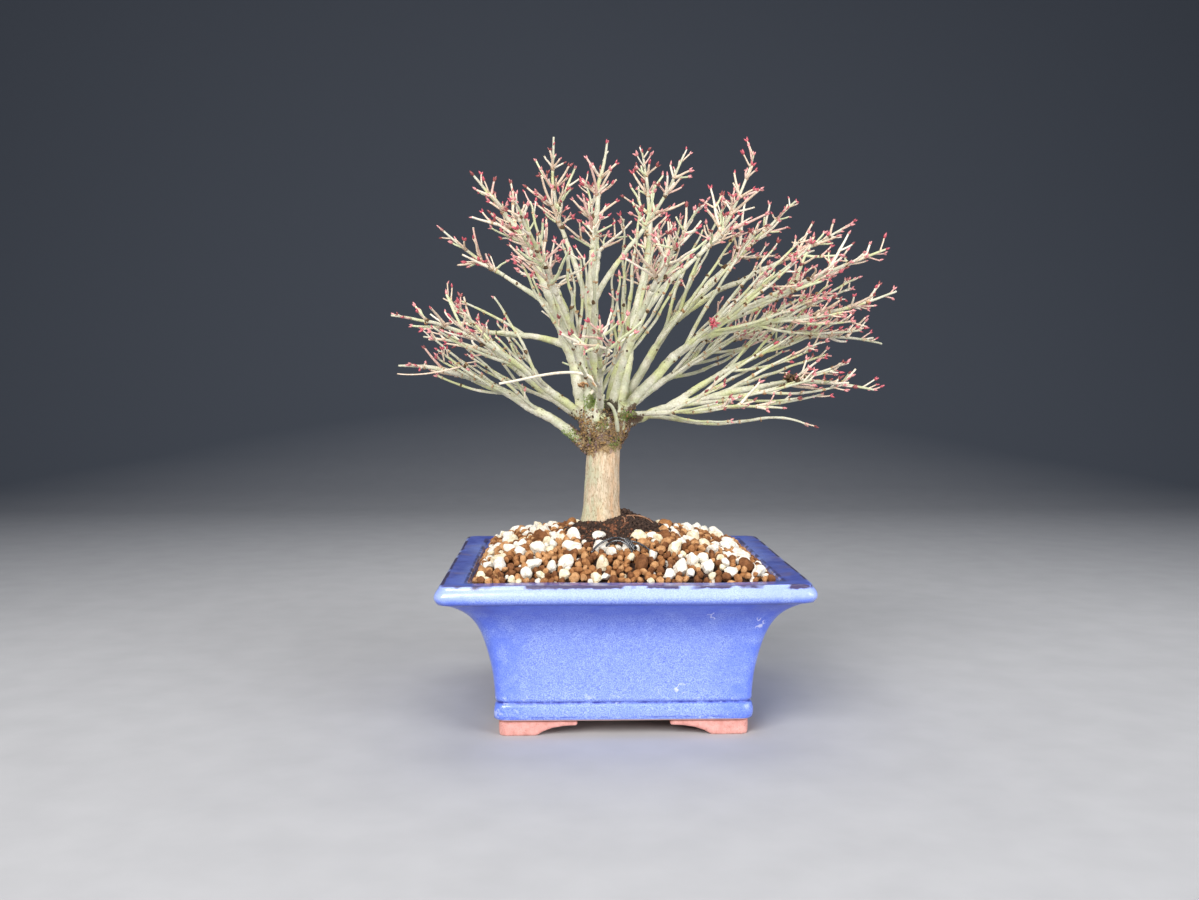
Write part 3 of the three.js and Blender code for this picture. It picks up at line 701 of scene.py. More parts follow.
def ring_faces(rings, sides):
    """Quads between rings of points, numbered ring after ring"""
    step, side = np.meshgrid(np.arange(rings - 1), np.arange(sides), indexing="ij")
    a = step * sides + side
    b = step * sides + (side + 1) % sides
    return np.stack([a, b, b + sides, a + sides], -1).reshape(-1, 4)


def closed_rings(rings):
    """A skin over rings (steps, sides, 3), closed by a fan at each end. Faces look outwards when the
    rings turn anticlockwise seen against their direction."""
    steps, sides, _ = rings.shape
    points = np.concatenate([rings.reshape(-1, 3), [rings[0].mean(0), rings[-1].mean(0)]])
    side = np.arange(sides)
    after = (side + 1) % sides
    last = (steps - 1) * sides
    low = np.stack([after, side, np.full(sides, steps * sides)], -1)
    high = np.stack([last + side, last + after, np.full(sides, steps * sides + 1)], -1)
    return points, ring_faces(steps, sides), low, high


def square_to(way):
    """A level direction square to a way, or any where the way is nearly upright"""
    side = np.cross(way, UP)
    return unit(side) if np.linalg.norm(side) > NEARLY_UPRIGHT else ACROSS


def ring_round(way, sides, twist=0.0):
    """Directions all round a way"""
    side = square_to(way)
    angle = TAU * np.arange(sides) / sides + twist
    return side * np.cos(angle)[:, None] + np.cross(way, side) * np.sin(angle)[:, None]


def transported(path):
    """Two directions square to a path at each of its points, that turn as little as they can"""
    ways = np.gradient(path, axis=0)
    ways /= np.maximum(np.linalg.norm(ways, axis=1, keepdims=True), 1e-12)
    side = square_to(ways[0])
    normals = []
    for way in ways:
        side = unit(side - way * np.dot(side, way))
        normals.append(side)
    normals = np.array(normals)
    return normals, np.cross(ways, normals)


def tube(path, radii, sides):
    """A closed tube along a path"""
    normals, others = transported(path)
    angle = (TAU * np.arange(sides) / sides)[None, :, None]
    out = normals[:, None] * np.cos(angle) + others[:, None] * np.sin(angle)
    return closed_rings(path[:, None] + np.asarray(radii, float)[:, None, None] * out)


def loose_object(name, mesh):
    made = bpy.data.objects.new(name, mesh)
    bpy.context.scene.collection.objects.link(made)
    return made


def modified(mesh, *modifiers):
    """A mesh after some modifiers, each given as (kind, settings)"""
    made = loose_object("work", mesh)
    for kind, settings in modifiers:
        modifier = made.modifiers.new(kind, kind)
        for key, value in settings.items():
            setattr(modifier, key, value)
    graph = bpy.context.evaluated_depsgraph_get()
    result = bpy.data.meshes.new_from_object(made.evaluated_get(graph), depsgraph=graph)
    bpy.data.objects.remove(made)
    return result


def points_of(mesh):
    places = np.zeros(len(mesh.vertices) * 3, np.float32)
    mesh.vertices.foreach_get("co", places)
    return (places.reshape(-1, 3).astype(float) - POT_MIDDLE) * MM


def normals_of(mesh):
    normals = np.zeros(len(mesh.vertices) * 3, np.float32)
    mesh.vertices.foreach_get("normal", normals)
    return normals.reshape(-1, 3).astype(float)


def move_points(mesh, points):
    mesh.vertices.foreach_set("co", (points / MM + POT_MIDDLE).astype(np.float32).ravel())
    mesh.update()


def tint(r, g, b):
    """A colour as the shader takes it, from its screen values, 0 to 255"""
    return tuple((c / 255 / 12.92) if c <= 10 else ((c / 255 + 0.055) / 1.055) ** 2.4 for c in (r, g, b))


class Look:
    """A material whose colours and relief come from noises measured in millimetres. It starts from
    one colour, and others are laid over it."""

    def __init__(self, name, colour, roughness, specular, coat=0.0, coat_roughness=0.03):
        self.material = bpy.data.materials.new(name)
        self.material.use_nodes = True
        self.tree = self.material.node_tree
        self.shader = self.tree.nodes["Principled BSDF"]
        self.set(self.shader, "Roughness", roughness)
        self.set(self.shader, "Specular IOR Level", specular)
        self.set(self.shader, "Coat Weight", coat)
        self.set(self.shader, "Coat Roughness", coat_roughness)
        places = self.tree.nodes.new("ShaderNodeTexCoord").outputs["Object"]
        self.place = self.node("VectorMath", {"Vector": places, "Scale": MM}, operation="SCALE")
        self.colour = colour

    def set(self, node, key, value):
        socket = node.inputs[key]
        if isinstance(value, bpy.types.NodeSocket):
            self.tree.links.new(value, socket)
        elif socket.type == "RGBA":
            socket.default_value = (*value, 1)
        else:
            socket.default_value = value

    def node(self, kind, inputs, output=0, **settings):
        """An output of a new node, from its inputs by name or number and its settings"""
        made = self.tree.nodes.new("ShaderNode" + kind)
        for key, value in settings.items():
            setattr(made, key, value)
        for key, value in inputs.items():
            self.set(made, key, value)
        return made.outputs[output]

    def noise(self, size, detail, roughness, stretch=(1, 1, 1), shift=0.0):
        where = {"Vector": self.place, "Scale": stretch, "Location": (shift, shift, shift)}
        place = self.node("Mapping", where)
        inputs = {"Vector": place, "Scale": 1 / size, "Detail": detail, "Roughness": roughness}
        return self.node("TexNoise", inputs)

    def span(self, value, low, high, to_low=0.0, to_high=1.0):
        """A value's way from low to high, as a share from 0 to 1 or between two others"""
        inputs = {"Value": value, "From Min": low, "From Max": high, "To Min": to_low, "To Max": to_high}
        return self.node("MapRange", inputs)

    def spots(self, size, detail, roughness, low, high, to_low=0.0, to_high=1.0, **at):
        """A noise whose values from low to high are spread to a share"""
        return self.span(self.noise(size, detail, roughness, **at), low, high, to_low, to_high)

    def band(self, value, low, full, still_full, high):
        """1 where a value is in a band, fading to 0 on both sides"""
        return self.both(self.span(value, low, full), self.span(value, high, still_full))

    def math(self, operation, *values, clamped=False):
        return self.node("Math", dict(enumerate(values)), operation=operation, use_clamp=clamped)

    def both(self, share, *others):
        """Where all of some shares hold"""
        for other in others:
            share = self.math("MULTIPLY", share, other, clamped=True)
        return share

    def mix(self, share, a, b):
        return self.node("Mix", {0: share, 6: a, 7: b}, 2, data_type="RGBA")

    def lay(self, colour, *shares):
        """Lays a colour over the look where all the shares hold"""
        self.colour = self.mix(self.both(*shares), self.colour, colour)

    def part(self, axis):
        """The pieces' own x, y or z in millimetres"""
        return self.node("SeparateXYZ", {"Vector": self.place}, axis)

    def away_from(self, value, middle):
        """How far a value is from a middle one"""
        return self.math("ABSOLUTE", self.math("SUBTRACT", value, middle))

    def near(self, middle, radius, soft):
        """1 inside a ball round a place in the pot's millimetres, fading to 0 at its edge"""
        row = tuple(float(x) for x in np.asarray(middle, float) + POT_MIDDLE * MM)
        away = self.node("VectorMath", {0: self.place, 1: row}, "Value", operation="DISTANCE")
        return self.span(away, radius, radius * soft)

    def made(self, *layers):
        """The material, with relief from (height, depth in millimetres) layers"""
        self.set(self.shader, "Base Color", self.colour)
        normal = None
        for height, depth in layers:
            inputs = {"Height": height, "Distance": depth / MM}
            if normal:
                inputs["Normal"] = normal
            normal = self.node("Bump", inputs)
        if normal:
            self.set(self.shader, "Normal", normal)
        return self.material


# Worn scuffs on the front of the pot, with their radii, and how far its glaze's brown edges reach
SCUFFS = (((69, -80.5, 61), 5), ((45, -82, 66), 3.5), ((30, -69, 26), 4))
INNER_EDGE = (83.4, 82.6)


def glaze_look():
    look = Look("pot_glaze", tint(90, 112, 214), 0.3, 0.5, 0.5, 0.12)
    height = look.part("Z")
    across = look.away_from(look.part("X"), POT_MIDDLE[0] * MM)
    back = look.away_from(look.part("Y"), POT_MIDDLE[1] * MM)
    out = look.math("MAXIMUM", across, back)
    patch = look.noise(9, 3, 0.6)
    look.lay(tint(172, 194, 250), look.spots(0.6, 3, 0.8, 0.4, 0.6))
    look.lay(tint(116, 142, 238), look.span(patch, 0.35, 0.7, 0, 0.35))
    corner = look.span(look.math("DIVIDE", look.math("MINIMUM", across, back), out), 0.62, 1)
    look.lay(tint(86, 116, 228), corner, look.span(patch, 0.3, 0.6, 0.2, 0.9))
    # The rim's face, paler on its upper part as a painted highlight, flecks, darker glaze with painted shade
    # under the rim, and painted shade under the rim's lower lip
    # Painted highlight: the rim's face is paler from partway up to its top edge
    look.lay(tint(196, 212, 255), look.span(out, 92.2, 93.6), look.span(height, 77, 79.5), 0.45)
    look.lay(tint(70, 88, 178), look.spots(1.1, 2, 0.6, 0.68, 0.74, shift=33), 0.5)
    # Darker glaze under the rim, partly painted shade where the rim overhangs the body
    dark_glaze_and_shade_under_rim = look.band(height, 52, 74, 74.4, 75.6)
    look.lay(tint(54, 80, 212), dark_glaze_and_shade_under_rim, look.span(patch, 0.25, 0.75, 0.5, 0.9))
    # Painted shade: a dark line in the crease under the rim's lower lip
    look.lay(tint(62, 74, 178), look.band(height, 74.4, 75.2, 75.6, 77.2), 0.7)
    # The rim's top
    rim_top = look.mix(look.span(patch, 0.4, 0.62), tint(66, 80, 172), tint(98, 114, 202))
    rim_top = look.mix(look.spots(13, 3, 0.6, 0.5, 0.66, 0, 0.6, shift=52), rim_top, tint(126, 110, 140))
    look.lay(rim_top, look.span(height, 84.2, 84.6), look.span(out, 94.2, 93.2), 0.9)
    # The brown outer edge, in stretches, and the inner one
    wobble = look.math("MULTIPLY", look.noise(6, 3, 0.6, shift=40), 2.6)
    outer_edge = look.span(look.math("ADD", out, wobble), 93.9, 94.6)
    upper_edge = look.span(look.math("ADD", height, wobble), 84.3, 85.0)
    look.lay(tint(70, 60, 96), outer_edge, upper_edge, look.spots(17, 2, 0.5, 0.43, 0.5, shift=90))
    inner = look.span(out, *INNER_EDGE), look.span(height, 82.5, 83.5)
    look.lay(tint(66, 56, 88), *inner, look.spots(9, 2, 0.5, 0.4, 0.5, shift=71), 0.8)
    # The groove, the foot's line, pale patches low on the wall, and the scuffs
    look.lay(tint(44, 52, 150), look.band(height, 17.0, 17.8, 18.2, 19.0),
             look.spots(5, 2, 0.5, 0.4, 0.6, 0.35, 1, shift=12))
    look.lay(tint(62, 76, 170), look.band(height, 9.9, 10.3, 10.7, 11.1),
             look.spots(8, 2, 0.5, 0.45, 0.6, 0, 0.6, shift=27))
    look.lay(tint(206, 218, 246), look.span(height, 30, 20), look.spots(6, 3, 0.7, 0.6, 0.68, shift=61), 0.5)
    lines = look.span(look.away_from(look.noise(5, 1, 0.5, shift=5), 0.5), 0.028, 0.01)
    for middle, radius in SCUFFS:
        look.lay(tint(222, 224, 250), look.near(middle, radius, 0.8), lines, 0.75)
    # The bare clay underneath
    look.lay(tint(232, 190, 172), look.span(height, 9.3, 8.7))
    return look.made((look.noise(2.4, 2, 0.5), 0.12), (look.noise(0.5, 1, 0.5), 0.02))


def clay_look():
    look = Look("foot_clay", tint(226, 168, 158), 0.85, 0.25)
    look.lay(tint(204, 142, 132), look.spots(5, 3, 0.6, 0.35, 0.65))
    look.lay(tint(150, 88, 74), look.spots(0.6, 2, 0.6, 0.55, 0.75, 0, 0.5))
    return look.made((look.noise(1.1, 3, 0.7), 0.15))


def grain_look(name, light, dark, fine, depth):
    look = Look(name, light, 0.95, 0.15)
    look.lay(dark, look.spots(2.6, 3, 0.6, 0.35, 0.65))
    look.lay(tuple(c * 0.55 for c in dark), look.spots(fine, 2, 0.6, 0.55, 0.75, 0, 0.5))
    return look.made((look.noise(fine, 3, 0.7), depth))


def peat_look():
    look = Look("peat", tint(34, 24, 20), 0.9, 0.3)
    look.lay(tint(84, 58, 46), look.spots(1.6, 3, 0.7, 0.4, 0.65))
    return look.made((look.noise(0.9, 3, 0.7), 0.5))


def crust_colour(look):
    """Old bark: two browns, with dark pits and pale flakes"""
    brown = look.mix(look.spots(1.3, 3, 0.7, 0.4, 0.6, shift=81), tint(124, 98, 68), tint(172, 146, 104))
    brown = look.mix(look.spots(0.8, 2, 0.7, 0.56, 0.66, shift=82), brown, tint(62, 46, 36))
    return look.mix(look.spots(4, 3, 0.6, 0.5, 0.62, 0, 0.7, shift=83), brown, tint(150, 128, 120))


def trunk_look():
    look = Look("trunk_bark", tint(170, 150, 122), 0.78, 0.3)
    across, height = look.part("X"), look.part("Z")
    streak = look.noise(0.8, 4, 0.7, stretch=(1, 1, 0.17))
    look.lay(tint(222, 205, 178), look.span(streak, 0.36, 0.62))
    # Orange to the right and at the foot, green on the left
    right = look.both(look.span(across, -35, -15), 0.9)
    right_or_low = look.math("ADD", right, look.span(height, 122, 104), clamped=True)
    orange = look.spots(5.5, 3, 0.6, 0.42, 0.62, stretch=(1, 1, 0.4))
    look.lay(tint(220, 176, 134), orange, right_or_low, 0.75)
    green = look.spots(4, 3, 0.6, 0.42, 0.58, stretch=(1, 1, 0.25), shift=30)
    look.lay(tint(186, 192, 160), green, look.span(across, -20, -30), 0.7)
    # Mottle and pits
    look.lay(tint(198, 172, 140), look.spots(2.6, 4, 0.7, 0.5, 0.66, 0, 0.5, stretch=(1, 1, 0.5), shift=11))
    look.lay(tint(142, 110, 82), look.spots(0.7, 2, 0.6, 0.55, 0.66, stretch=(1, 1, 0.4), shift=70), 0.65)
    # The ragged collar of old bark, which reaches lower on the right
    ragged = look.math("MULTIPLY", look.noise(3.5, 4, 0.7, shift=17), 12.0)
    lean = look.math("MULTIPLY_ADD", across, -0.25, -6.0)
    collar = look.math("ADD", look.math("ADD", height, ragged), lean)
    look.lay(crust_colour(look), look.span(collar, 151.0, 153.0))
    return look.made((streak, 0.35), (look.noise(0.9, 3, 0.7), 0.15))


BARK_TINTS = (tint(224, 221, 202), tint(192, 195, 168), tint(202, 208, 146))
# Middle, radius and colour of the stains on the knuckle and of one painted shade, with no colour for old
# bark
KNUCKLE_STAINS_AND_SHADE = (
    ((-9, 0, 157), 25, None),
    # Painted shade: the dark hollow between the boughs
    ((-5, -12, 171), 9, tint(60, 48, 36)),
    ((9, -6, 168), 9, tint(92, 70, 54)),
    ((-28, -9, 156), 9, tint(158, 160, 96)),
    ((-15, -10, 176), 7, tint(104, 112, 62)),
    ((4, -11, 168), 6, tint(108, 114, 66)),
)


def limb_look(name, stains_and_shade=()):
    """Smooth young bark: two tones in stretches, a flush of a third, and brown specks"""
    pale, dark, flush = BARK_TINTS
    look = Look(name, pale, 0.7, 0.35)
    look.lay(dark, look.spots(9, 3, 0.6, 0.38, 0.62))
    look.lay(flush, look.spots(14, 2, 0.5, 0.5, 0.64, 0, 0.8, shift=25))
    fine = look.noise(0.9, 3, 0.7, shift=60)
    look.lay(tint(150, 138, 104), look.span(fine, 0.3, 0.6, 0.4, 0))
    look.lay(tint(172, 156, 124), look.spots(3.2, 4, 0.75, 0.54, 0.64, 0, 0.5, shift=44))
    look.lay(tint(140, 112, 84), look.spots(1.4, 3, 0.7, 0.64, 0.7, shift=8), 0.35)
    ragged = look.spots(3.5, 4, 0.7, 0.3, 0.7, -0.4, 0.5, shift=17)
    # Stains, old bark and painted shade, laid at places on the knuckle
    for middle, radius, stain_or_shade in stains_and_shade:
        worn = look.math("ADD", look.near(middle, radius, 0.3), ragged)
        look.lay(stain_or_shade or crust_colour(look), look.span(worn, 0.4, 0.62, 0, 0.95))
    return look.made((fine, 0.12))


# What near-plain pieces are like: their mottle's size, roughness, specular, relief and coat
PEAT = (1.1, 0.9, 0.25, 0.2, 0.0)
ROOT = (1.4, 0.75, 0.3, 0.1, 0.0)
WIRE = (2.2, 0.2, 0.7, 0.02, 0.6)
FIBRE = (0.8, 0.95, 0.15, 0.1, 0.0)
MOSS = (0.8, 0.9, 0.2, 0.1, 0.0)
TWIG = (1.6, 0.62, 0.35, 0.06, 0.0)
BUD = (0.8, 0.4, 0.5, 0.05, 0.2)
NODE_RING = (0.9, 0.85, 0.2, 0.2, 0.0)
NODE_CRUST = (0.7, 0.9, 0.2, 0.3, 0.0)
CUT_END = (0.7, 0.8, 0.2, 0.05, 0.0)
SCALE = (0.9, 0.8, 0.2, 0.1, 0.0)

# The near-plain pieces by slot: a light and a dark tint, and what each is like
PLAIN = {
    "soil_grains": {
        "peat_crumbs": ((76, 58, 48), (38, 29, 25), PEAT),
        "peat_crumbs_rust": ((132, 86, 60), (88, 56, 42), PEAT),
        "bare_roots": ((176, 136, 106), (124, 86, 64), ROOT),
        "tie_wire": ((66, 68, 75), (22, 23, 26), WIRE),
    },
    "bough_bark": {
        "collar_fibres_brown": ((172, 142, 96), (134, 106, 70), FIBRE),
        "collar_fibres_purple": ((148, 122, 114), (114, 92, 88), FIBRE),
        "collar_fibres_dark": ((70, 54, 42), (44, 32, 26), FIBRE),
        "moss_green": ((126, 156, 72), (92, 120, 50), MOSS),
        "moss_light": ((174, 198, 108), (138, 166, 76), MOSS),
    },
    "twigs": {
        "twigs_green": ((224, 228, 190), (202, 208, 166), TWIG),
        "twigs_cream": ((242, 234, 216), (222, 210, 188), TWIG),
        "twigs_tan": ((236, 216, 194), (212, 188, 162), TWIG),
        "twigs_pink": ((228, 194, 180), (204, 164, 150), TWIG),
        "twigs_red": ((206, 150, 140), (176, 118, 110), TWIG),
        "buds_crimson": ((210, 104, 114), (174, 70, 84), BUD),
        "buds_rose": ((228, 160, 158), (204, 124, 126), BUD),
        "buds_dark": ((164, 88, 86), (128, 62, 62), BUD),
        "twig_node_rings": ((206, 180, 146), (164, 132, 100), NODE_RING),
        "twig_node_crusts": ((120, 96, 70), (72, 56, 42), NODE_CRUST),
        "twig_cut_ends": ((238, 230, 206), (220, 204, 170), CUT_END),
        "twig_scraps": ((196, 160, 118), (146, 106, 72), SCALE),
    },
}
plain = {name: Shape() for group in PLAIN.values() for name in group}


def show_plain(slot):
    """Shows a slot's near-plain pieces, from what their shapes hold by now"""
    pieces = {}
    for name, (light, dark, kind) in PLAIN[slot].items():
        size, roughness, specular, depth, coat = kind
        look = Look(name, tint(*light), roughness, specular, coat)
        mottle = look.noise(size, 2, 0.6)
        look.lay(tint(*dark), look.span(mottle, 0.35, 0.65))
        pieces[name] = show(name, plain[name], look.made((mottle, depth)))
        if kind is PEAT:
            pieces[name].data.shade_flat()
    return pieces


# The pot: one closed skin from the middle of its underside over the rim to the middle of its floor
LIP_SLOPE = 0.35
LIP_ROUND = 1.5
LIP_WIDE = 1.6


def square_ring(half, sides=26, bends=9):
    """A square with round corners, seen from above, anticlockwise"""
    corner = min(POT_CORNER, half * 0.98)
    straight = half - corner
    points = []
    for quarter in range(4):
        a = math.radians(90 * quarter)
        c, s = math.cos(a), math.sin(a)
        side = [(half, mix(-straight, straight, i / sides)) for i in range(sides)]
        for b in (math.radians(90 * i / bends) for i in range(bends)):
            side.append((straight + corner * math.cos(b), straight + corner * math.sin(b)))
        points += [(x * c - y * s, x * s + y * c) for x, y in side]
    return np.array(points)


def pot_profile():
    """Half width and height from the underside's middle to the floor's middle"""
    profile = [(half, POT_BASE) for half in (4, 20, 45, 62, 66.4)]
    profile += [(67.4, POT_BASE + 0.15), (68.1, POT_BASE + 0.7)]
    groove = BAND_TOP - GROOVE_HALF
    for share in np.linspace(0.14, 1, 8):
        profile.append((BAND_HALF + BAND_SWELL * math.sin(math.pi * share), mix(POT_BASE, groove, share)))
    for share in np.linspace(0.15, 0.85, 6):
        deep = GROOVE_DEEP * math.sin(math.pi * share) ** 0.8
        profile.append((BAND_HALF - deep, mix(groove, groove + 2 * GROOVE_HALF, share)))
    wide = RIM_HALF - RIM_LEDGE - BAND_HALF
    for share in np.linspace(0, 1, 44):
        slow = FLARE_SLOW_SHARE * share**FLARE_SLOW_POWER
        quick = (1 - FLARE_SLOW_SHARE) * share**FLARE_QUICK_POWER
        profile.append((BAND_HALF + wide * (slow + quick), mix(BAND_TOP + GROOVE_HALF, RIM_LOW, share)))
    profile += [(RIM_HALF - 1.2, RIM_LOW + 0.05), (RIM_HALF - 0.45, RIM_LOW + 0.35)]
    for share in np.linspace(0.08, 1, 12):
        bulge = RIM_BULGE * math.sin(math.pi * share) ** 0.9
        profile.append((RIM_HALF + bulge, mix(RIM_LOW, RIM_TOP - RIM_EDGE_ROUND, share)))
    r = RIM_EDGE_ROUND
    for angle in np.radians((25, 45, 65, 90)):
        profile.append((RIM_HALF - r + r * math.cos(angle), RIM_TOP - r + r * math.sin(angle)))
    lip = MOUTH_HALF + LIP_WIDE
    for share in np.linspace(0.2, 1, 5):
        profile.append((mix(RIM_HALF - r, lip, share), RIM_TOP - LIP_SLOPE * share))
    low = RIM_TOP - LIP_SLOPE - LIP_ROUND
    for angle in np.radians((30, 60, 85)):
        profile.append((lip - LIP_ROUND * math.sin(angle), low + LIP_ROUND * math.cos(angle)))
    for share in np.linspace(0.93, 0, 10):
        profile.append((mix(FLOOR_HALF, MOUTH_HALF, share**CAVITY_FLARE), mix(FLOOR_TOP, RIM_TOP, share)))
    return profile + [(half, FLOOR_TOP) for half in (40, 4)]


def level_ring(half, height):
    return np.insert(square_ring(half), 2, height, axis=1)


def make_pot():
    rings = np.array([level_ring(half, height) for half, height in pot_profile()])
    flat = rings.reshape(-1, 3)
    out = flat * (1, 1, 0)
    out /= np.maximum(np.linalg.norm(out, axis=1, keepdims=True), 1)
    above = smooth(POT_BASE, POT_BASE + 6, flat[:, 2])
    uneven = 0.45 * noise(flat, 38, 5, 2) + 0.1 * noise(flat, 7, 6)
    flat = flat + out * (uneven * above)[:, None]
    flat[:, 2] += (0.3 * noise(flat * (1, 1, 0), 45, 9) - 0.15) * smooth(60, 80, flat[:, 2])
    shape = Shape()
    shape.add(*closed_rings(flat.reshape(rings.shape)))
    piece = show("pot_glazed", shape, glaze_look())
    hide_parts("pot")


FEET = ("foot_front_left", "foot_front_right", "foot_back_right", "foot_back_left")
FOOT_VOXEL = 0.0009  # metres
FOOT_RELIEF = 0.22
FOOT_LEVEL = 0.45  # up to which a foot's underside is pressed flat


def make_feet():
    look = clay_look()
    for number, name in enumerate(FEET):
        mesh = modified(
            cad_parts[name].data.copy(),
            ("REMESH", {"mode": "VOXEL", "voxel_size": FOOT_VOXEL}),
            ("SMOOTH", {"factor": 0.5, "iterations": 5}),
        )
        points, normals = points_of(mesh), normals_of(mesh)
        flat = smooth(0.0, 1.2, points[:, 2])
        points += normals * (FOOT_RELIEF * noise(points, 6, 20 + number, 2) * flat)[:, None]
        points[:, 2] = np.where(points[:, 2] < FOOT_LEVEL, 0.0, points[:, 2])
        move_points(mesh, points)
        mesh.shade_smooth()
        piece = show("clay_" + name, mesh, look)
        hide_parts(name)


# The soil: a dark heap under loose grains, with a mound of peat round the trunk's foot
def soil_height(share):
    return SOIL_EDGE + (SOIL_TOP - SOIL_EDGE) * (1 - share**SOIL_DOME_POWER)


def soil_share(x, y):
    wall = max(abs(x), abs(y)) / MOUTH_HALF
    reach = max(abs(x - TRUNK_X * (1 - wall)), abs(y - TRUNK_Y * (1 - wall)))
    return min(max((reach - SOIL_PAD) / (MOUTH_HALF - SOIL_PAD), 0), 1)


# Half width and height of the heap's sides, below the grains
HEAP_SIDES = ((10, 15.4), (58, 15.4), (60.4, 16), (70, 58))
HEAP_UNDER_GRAINS = 3.4
HEAP_OFF_WALL = 1.2
HEAP_RINGS = 26


def make_heap():
    rings = [level_ring(half, height) for half, height in HEAP_SIDES]
    wall = square_ring(MOUTH_HALF - HEAP_OFF_WALL)
    out = wall / np.linalg.norm(wall, axis=1, keepdims=True)
    for share in np.linspace(1, 0.02, HEAP_RINGS):
        pad = np.array([TRUNK_X, TRUNK_Y]) + out * (SOIL_PAD * min(1, share + 0.5))
        height = soil_height(share) - HEAP_UNDER_GRAINS
        rings.append(np.insert(mix(pad, wall, share), 2, height, axis=1))
    rings = np.array(rings)
    flat = rings.reshape(-1, 3)
    flat[:, 2] += 1.1 * noise(flat, 7, 31, 2) * smooth(60, 80, flat[:, 2])
    shape = Shape()
    shape.add(*closed_rings(flat.reshape(rings.shape)))
    piece = show("soil_heap", shape, peat_look())
    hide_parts("soil")


def ball(steps):
    """A round mesh of triangles, as points and faces"""
    t = (1 + 5**0.5) / 2
    points = [(-1, t, 0), (1, t, 0), (-1, -t, 0), (1, -t, 0), (0, -1, t), (0, 1, t)]
    points += [(0, -1, -t), (0, 1, -t), (t, 0, -1), (t, 0, 1), (-t, 0, -1), (-t, 0, 1)]
    faces = [(0, 11, 5), (0, 5, 1), (0, 1, 7), (0, 7, 10), (0, 10, 11), (1, 5, 9), (5, 11, 4)]
    faces += [(11, 10, 2), (10, 7, 6), (7, 1, 8), (3, 9, 4), (3, 4, 2), (3, 2, 6), (3, 6, 8)]
    faces += [(3, 8, 9), (4, 9, 5), (2, 4, 11), (6, 2, 10), (8, 6, 7), (9, 8, 1)]
    points = [unit(np.array(p, float)) for p in points]
    for _ in range(steps):
        halves, finer = {}, []

        def half(a, b):
            key = (min(a, b), max(a, b))
            if key not in halves:
                halves[key] = len(points)
                points.append(unit(points[a] + points[b]))
            return halves[key]

        for a, b, c in faces:
            ab, bc, ca = half(a, b), half(b, c), half(c, a)
            finer += [(a, ab, ca), (b, bc, ab), (c, ca, bc), (ab, bc, ca)]
        faces = finer
    return np.array(points), np.array(faces)


BALLS = {steps: ball(steps) for steps in (1, 2, 4)}


def random_turn(draws):
    """A turn about a random axis, as a matrix"""
    turns = [TAU * draws.next() for _ in range(3)]
    (ca, cb, cc), (sa, sb, sc) = ([f(turn) for turn in turns] for f in (math.cos, math.sin))
    x = np.array([[1, 0, 0], [0, ca, -sa], [0, sa, ca]])
    y = np.array([[cb, 0, sb], [0, 1, 0], [-sb, 0, cb]])
    z = np.array([[cc, -sc, 0], [sc, cc, 0], [0, 0, 1]])
    return z @ y @ x


def grain(draws, size, steps, facets, rough):
    """One stone: a ball pressed flat on some random sides, drawn out, and roughened"""
    points, faces = BALLS[steps]
    points = points.copy()
    for _ in range(facets):
        way = random_turn(draws)[0]
        over = points @ way - draws.between(0.62, 0.86)
        points -= np.outer(np.maximum(over, 0) * 0.92, way)
    points *= 1 + rough * noise(points + 20 * draws.next(), 0.55, 3, 2)[:, None]
    scale = np.array([draws.between(0.85, 1.25), draws.between(0.8, 1.05), draws.between(0.7, 0.95)])
    return (points * scale) @ random_turn(draws).T * size, faces


def in_oval(x, y, oval):
    """Below 1 inside an oval, given as its middle and half sizes"""
    middle, half = oval
    return math.hypot((x - middle[0]) / half[0], (y - middle[1]) / half[1])


def large_grains():
    """The large grains by the source's rule, as rows of x, y, z and half size"""
    draws = Draws(GRAIN_SEED)
    found = []
    for i in range(GRAIN_ROWS**2):
        x = draws.about((i % GRAIN_ROWS - (GRAIN_ROWS - 1) / 2) * GRAIN_APART, GRAIN_SHIFT)
        y = draws.about((i // GRAIN_ROWS - (GRAIN_ROWS - 1) / 2) * GRAIN_APART, GRAIN_SHIFT)
        size = mix(GRAIN_SMALL, GRAIN_LARGE, draws.next())
        draws.next()
        if math.hypot(x - TRUNK_X, y - TRUNK_Y) > SOIL_PAD + GRAIN_LARGE and in_oval(x, y, MOUND) > 1:
            found.append((x, y, soil_height(soil_share(x, y)) - size * GRAIN_SUNK, 0.86 * size))
    return np.array(found)


def scatter(draws, count, sizes, lower, others):
    """Places for more grains that keep some way from each other and from the others"""
    taken = np.concatenate([others, np.zeros((count, 4))])
    done = len(others)
    for _ in range(GRAIN_TRIES * count):
        size = draws.between(*sizes)
        x, y = (draws.about(0, GRAIN_REACH - size * 0.85) for _ in range(2))
        crowded = np.hypot(taken[:done, 0] - x, taken[:done, 1] - y) < 0.8 * (taken[:done, 3] + size)
        bare = any(in_oval(x, y, oval) < room for oval, room in BARE_OF_GRAINS)
        if crowded.any() or bare or math.hypot(x - TRUNK_X, y) < FLARE_ROOM + size:
            continue
        taken[done] = x, y, soil_height(soil_share(x, y)) - lower - size * 0.2, size
        done += 1
        if done == len(taken):
            break
    return taken[len(others) : done]


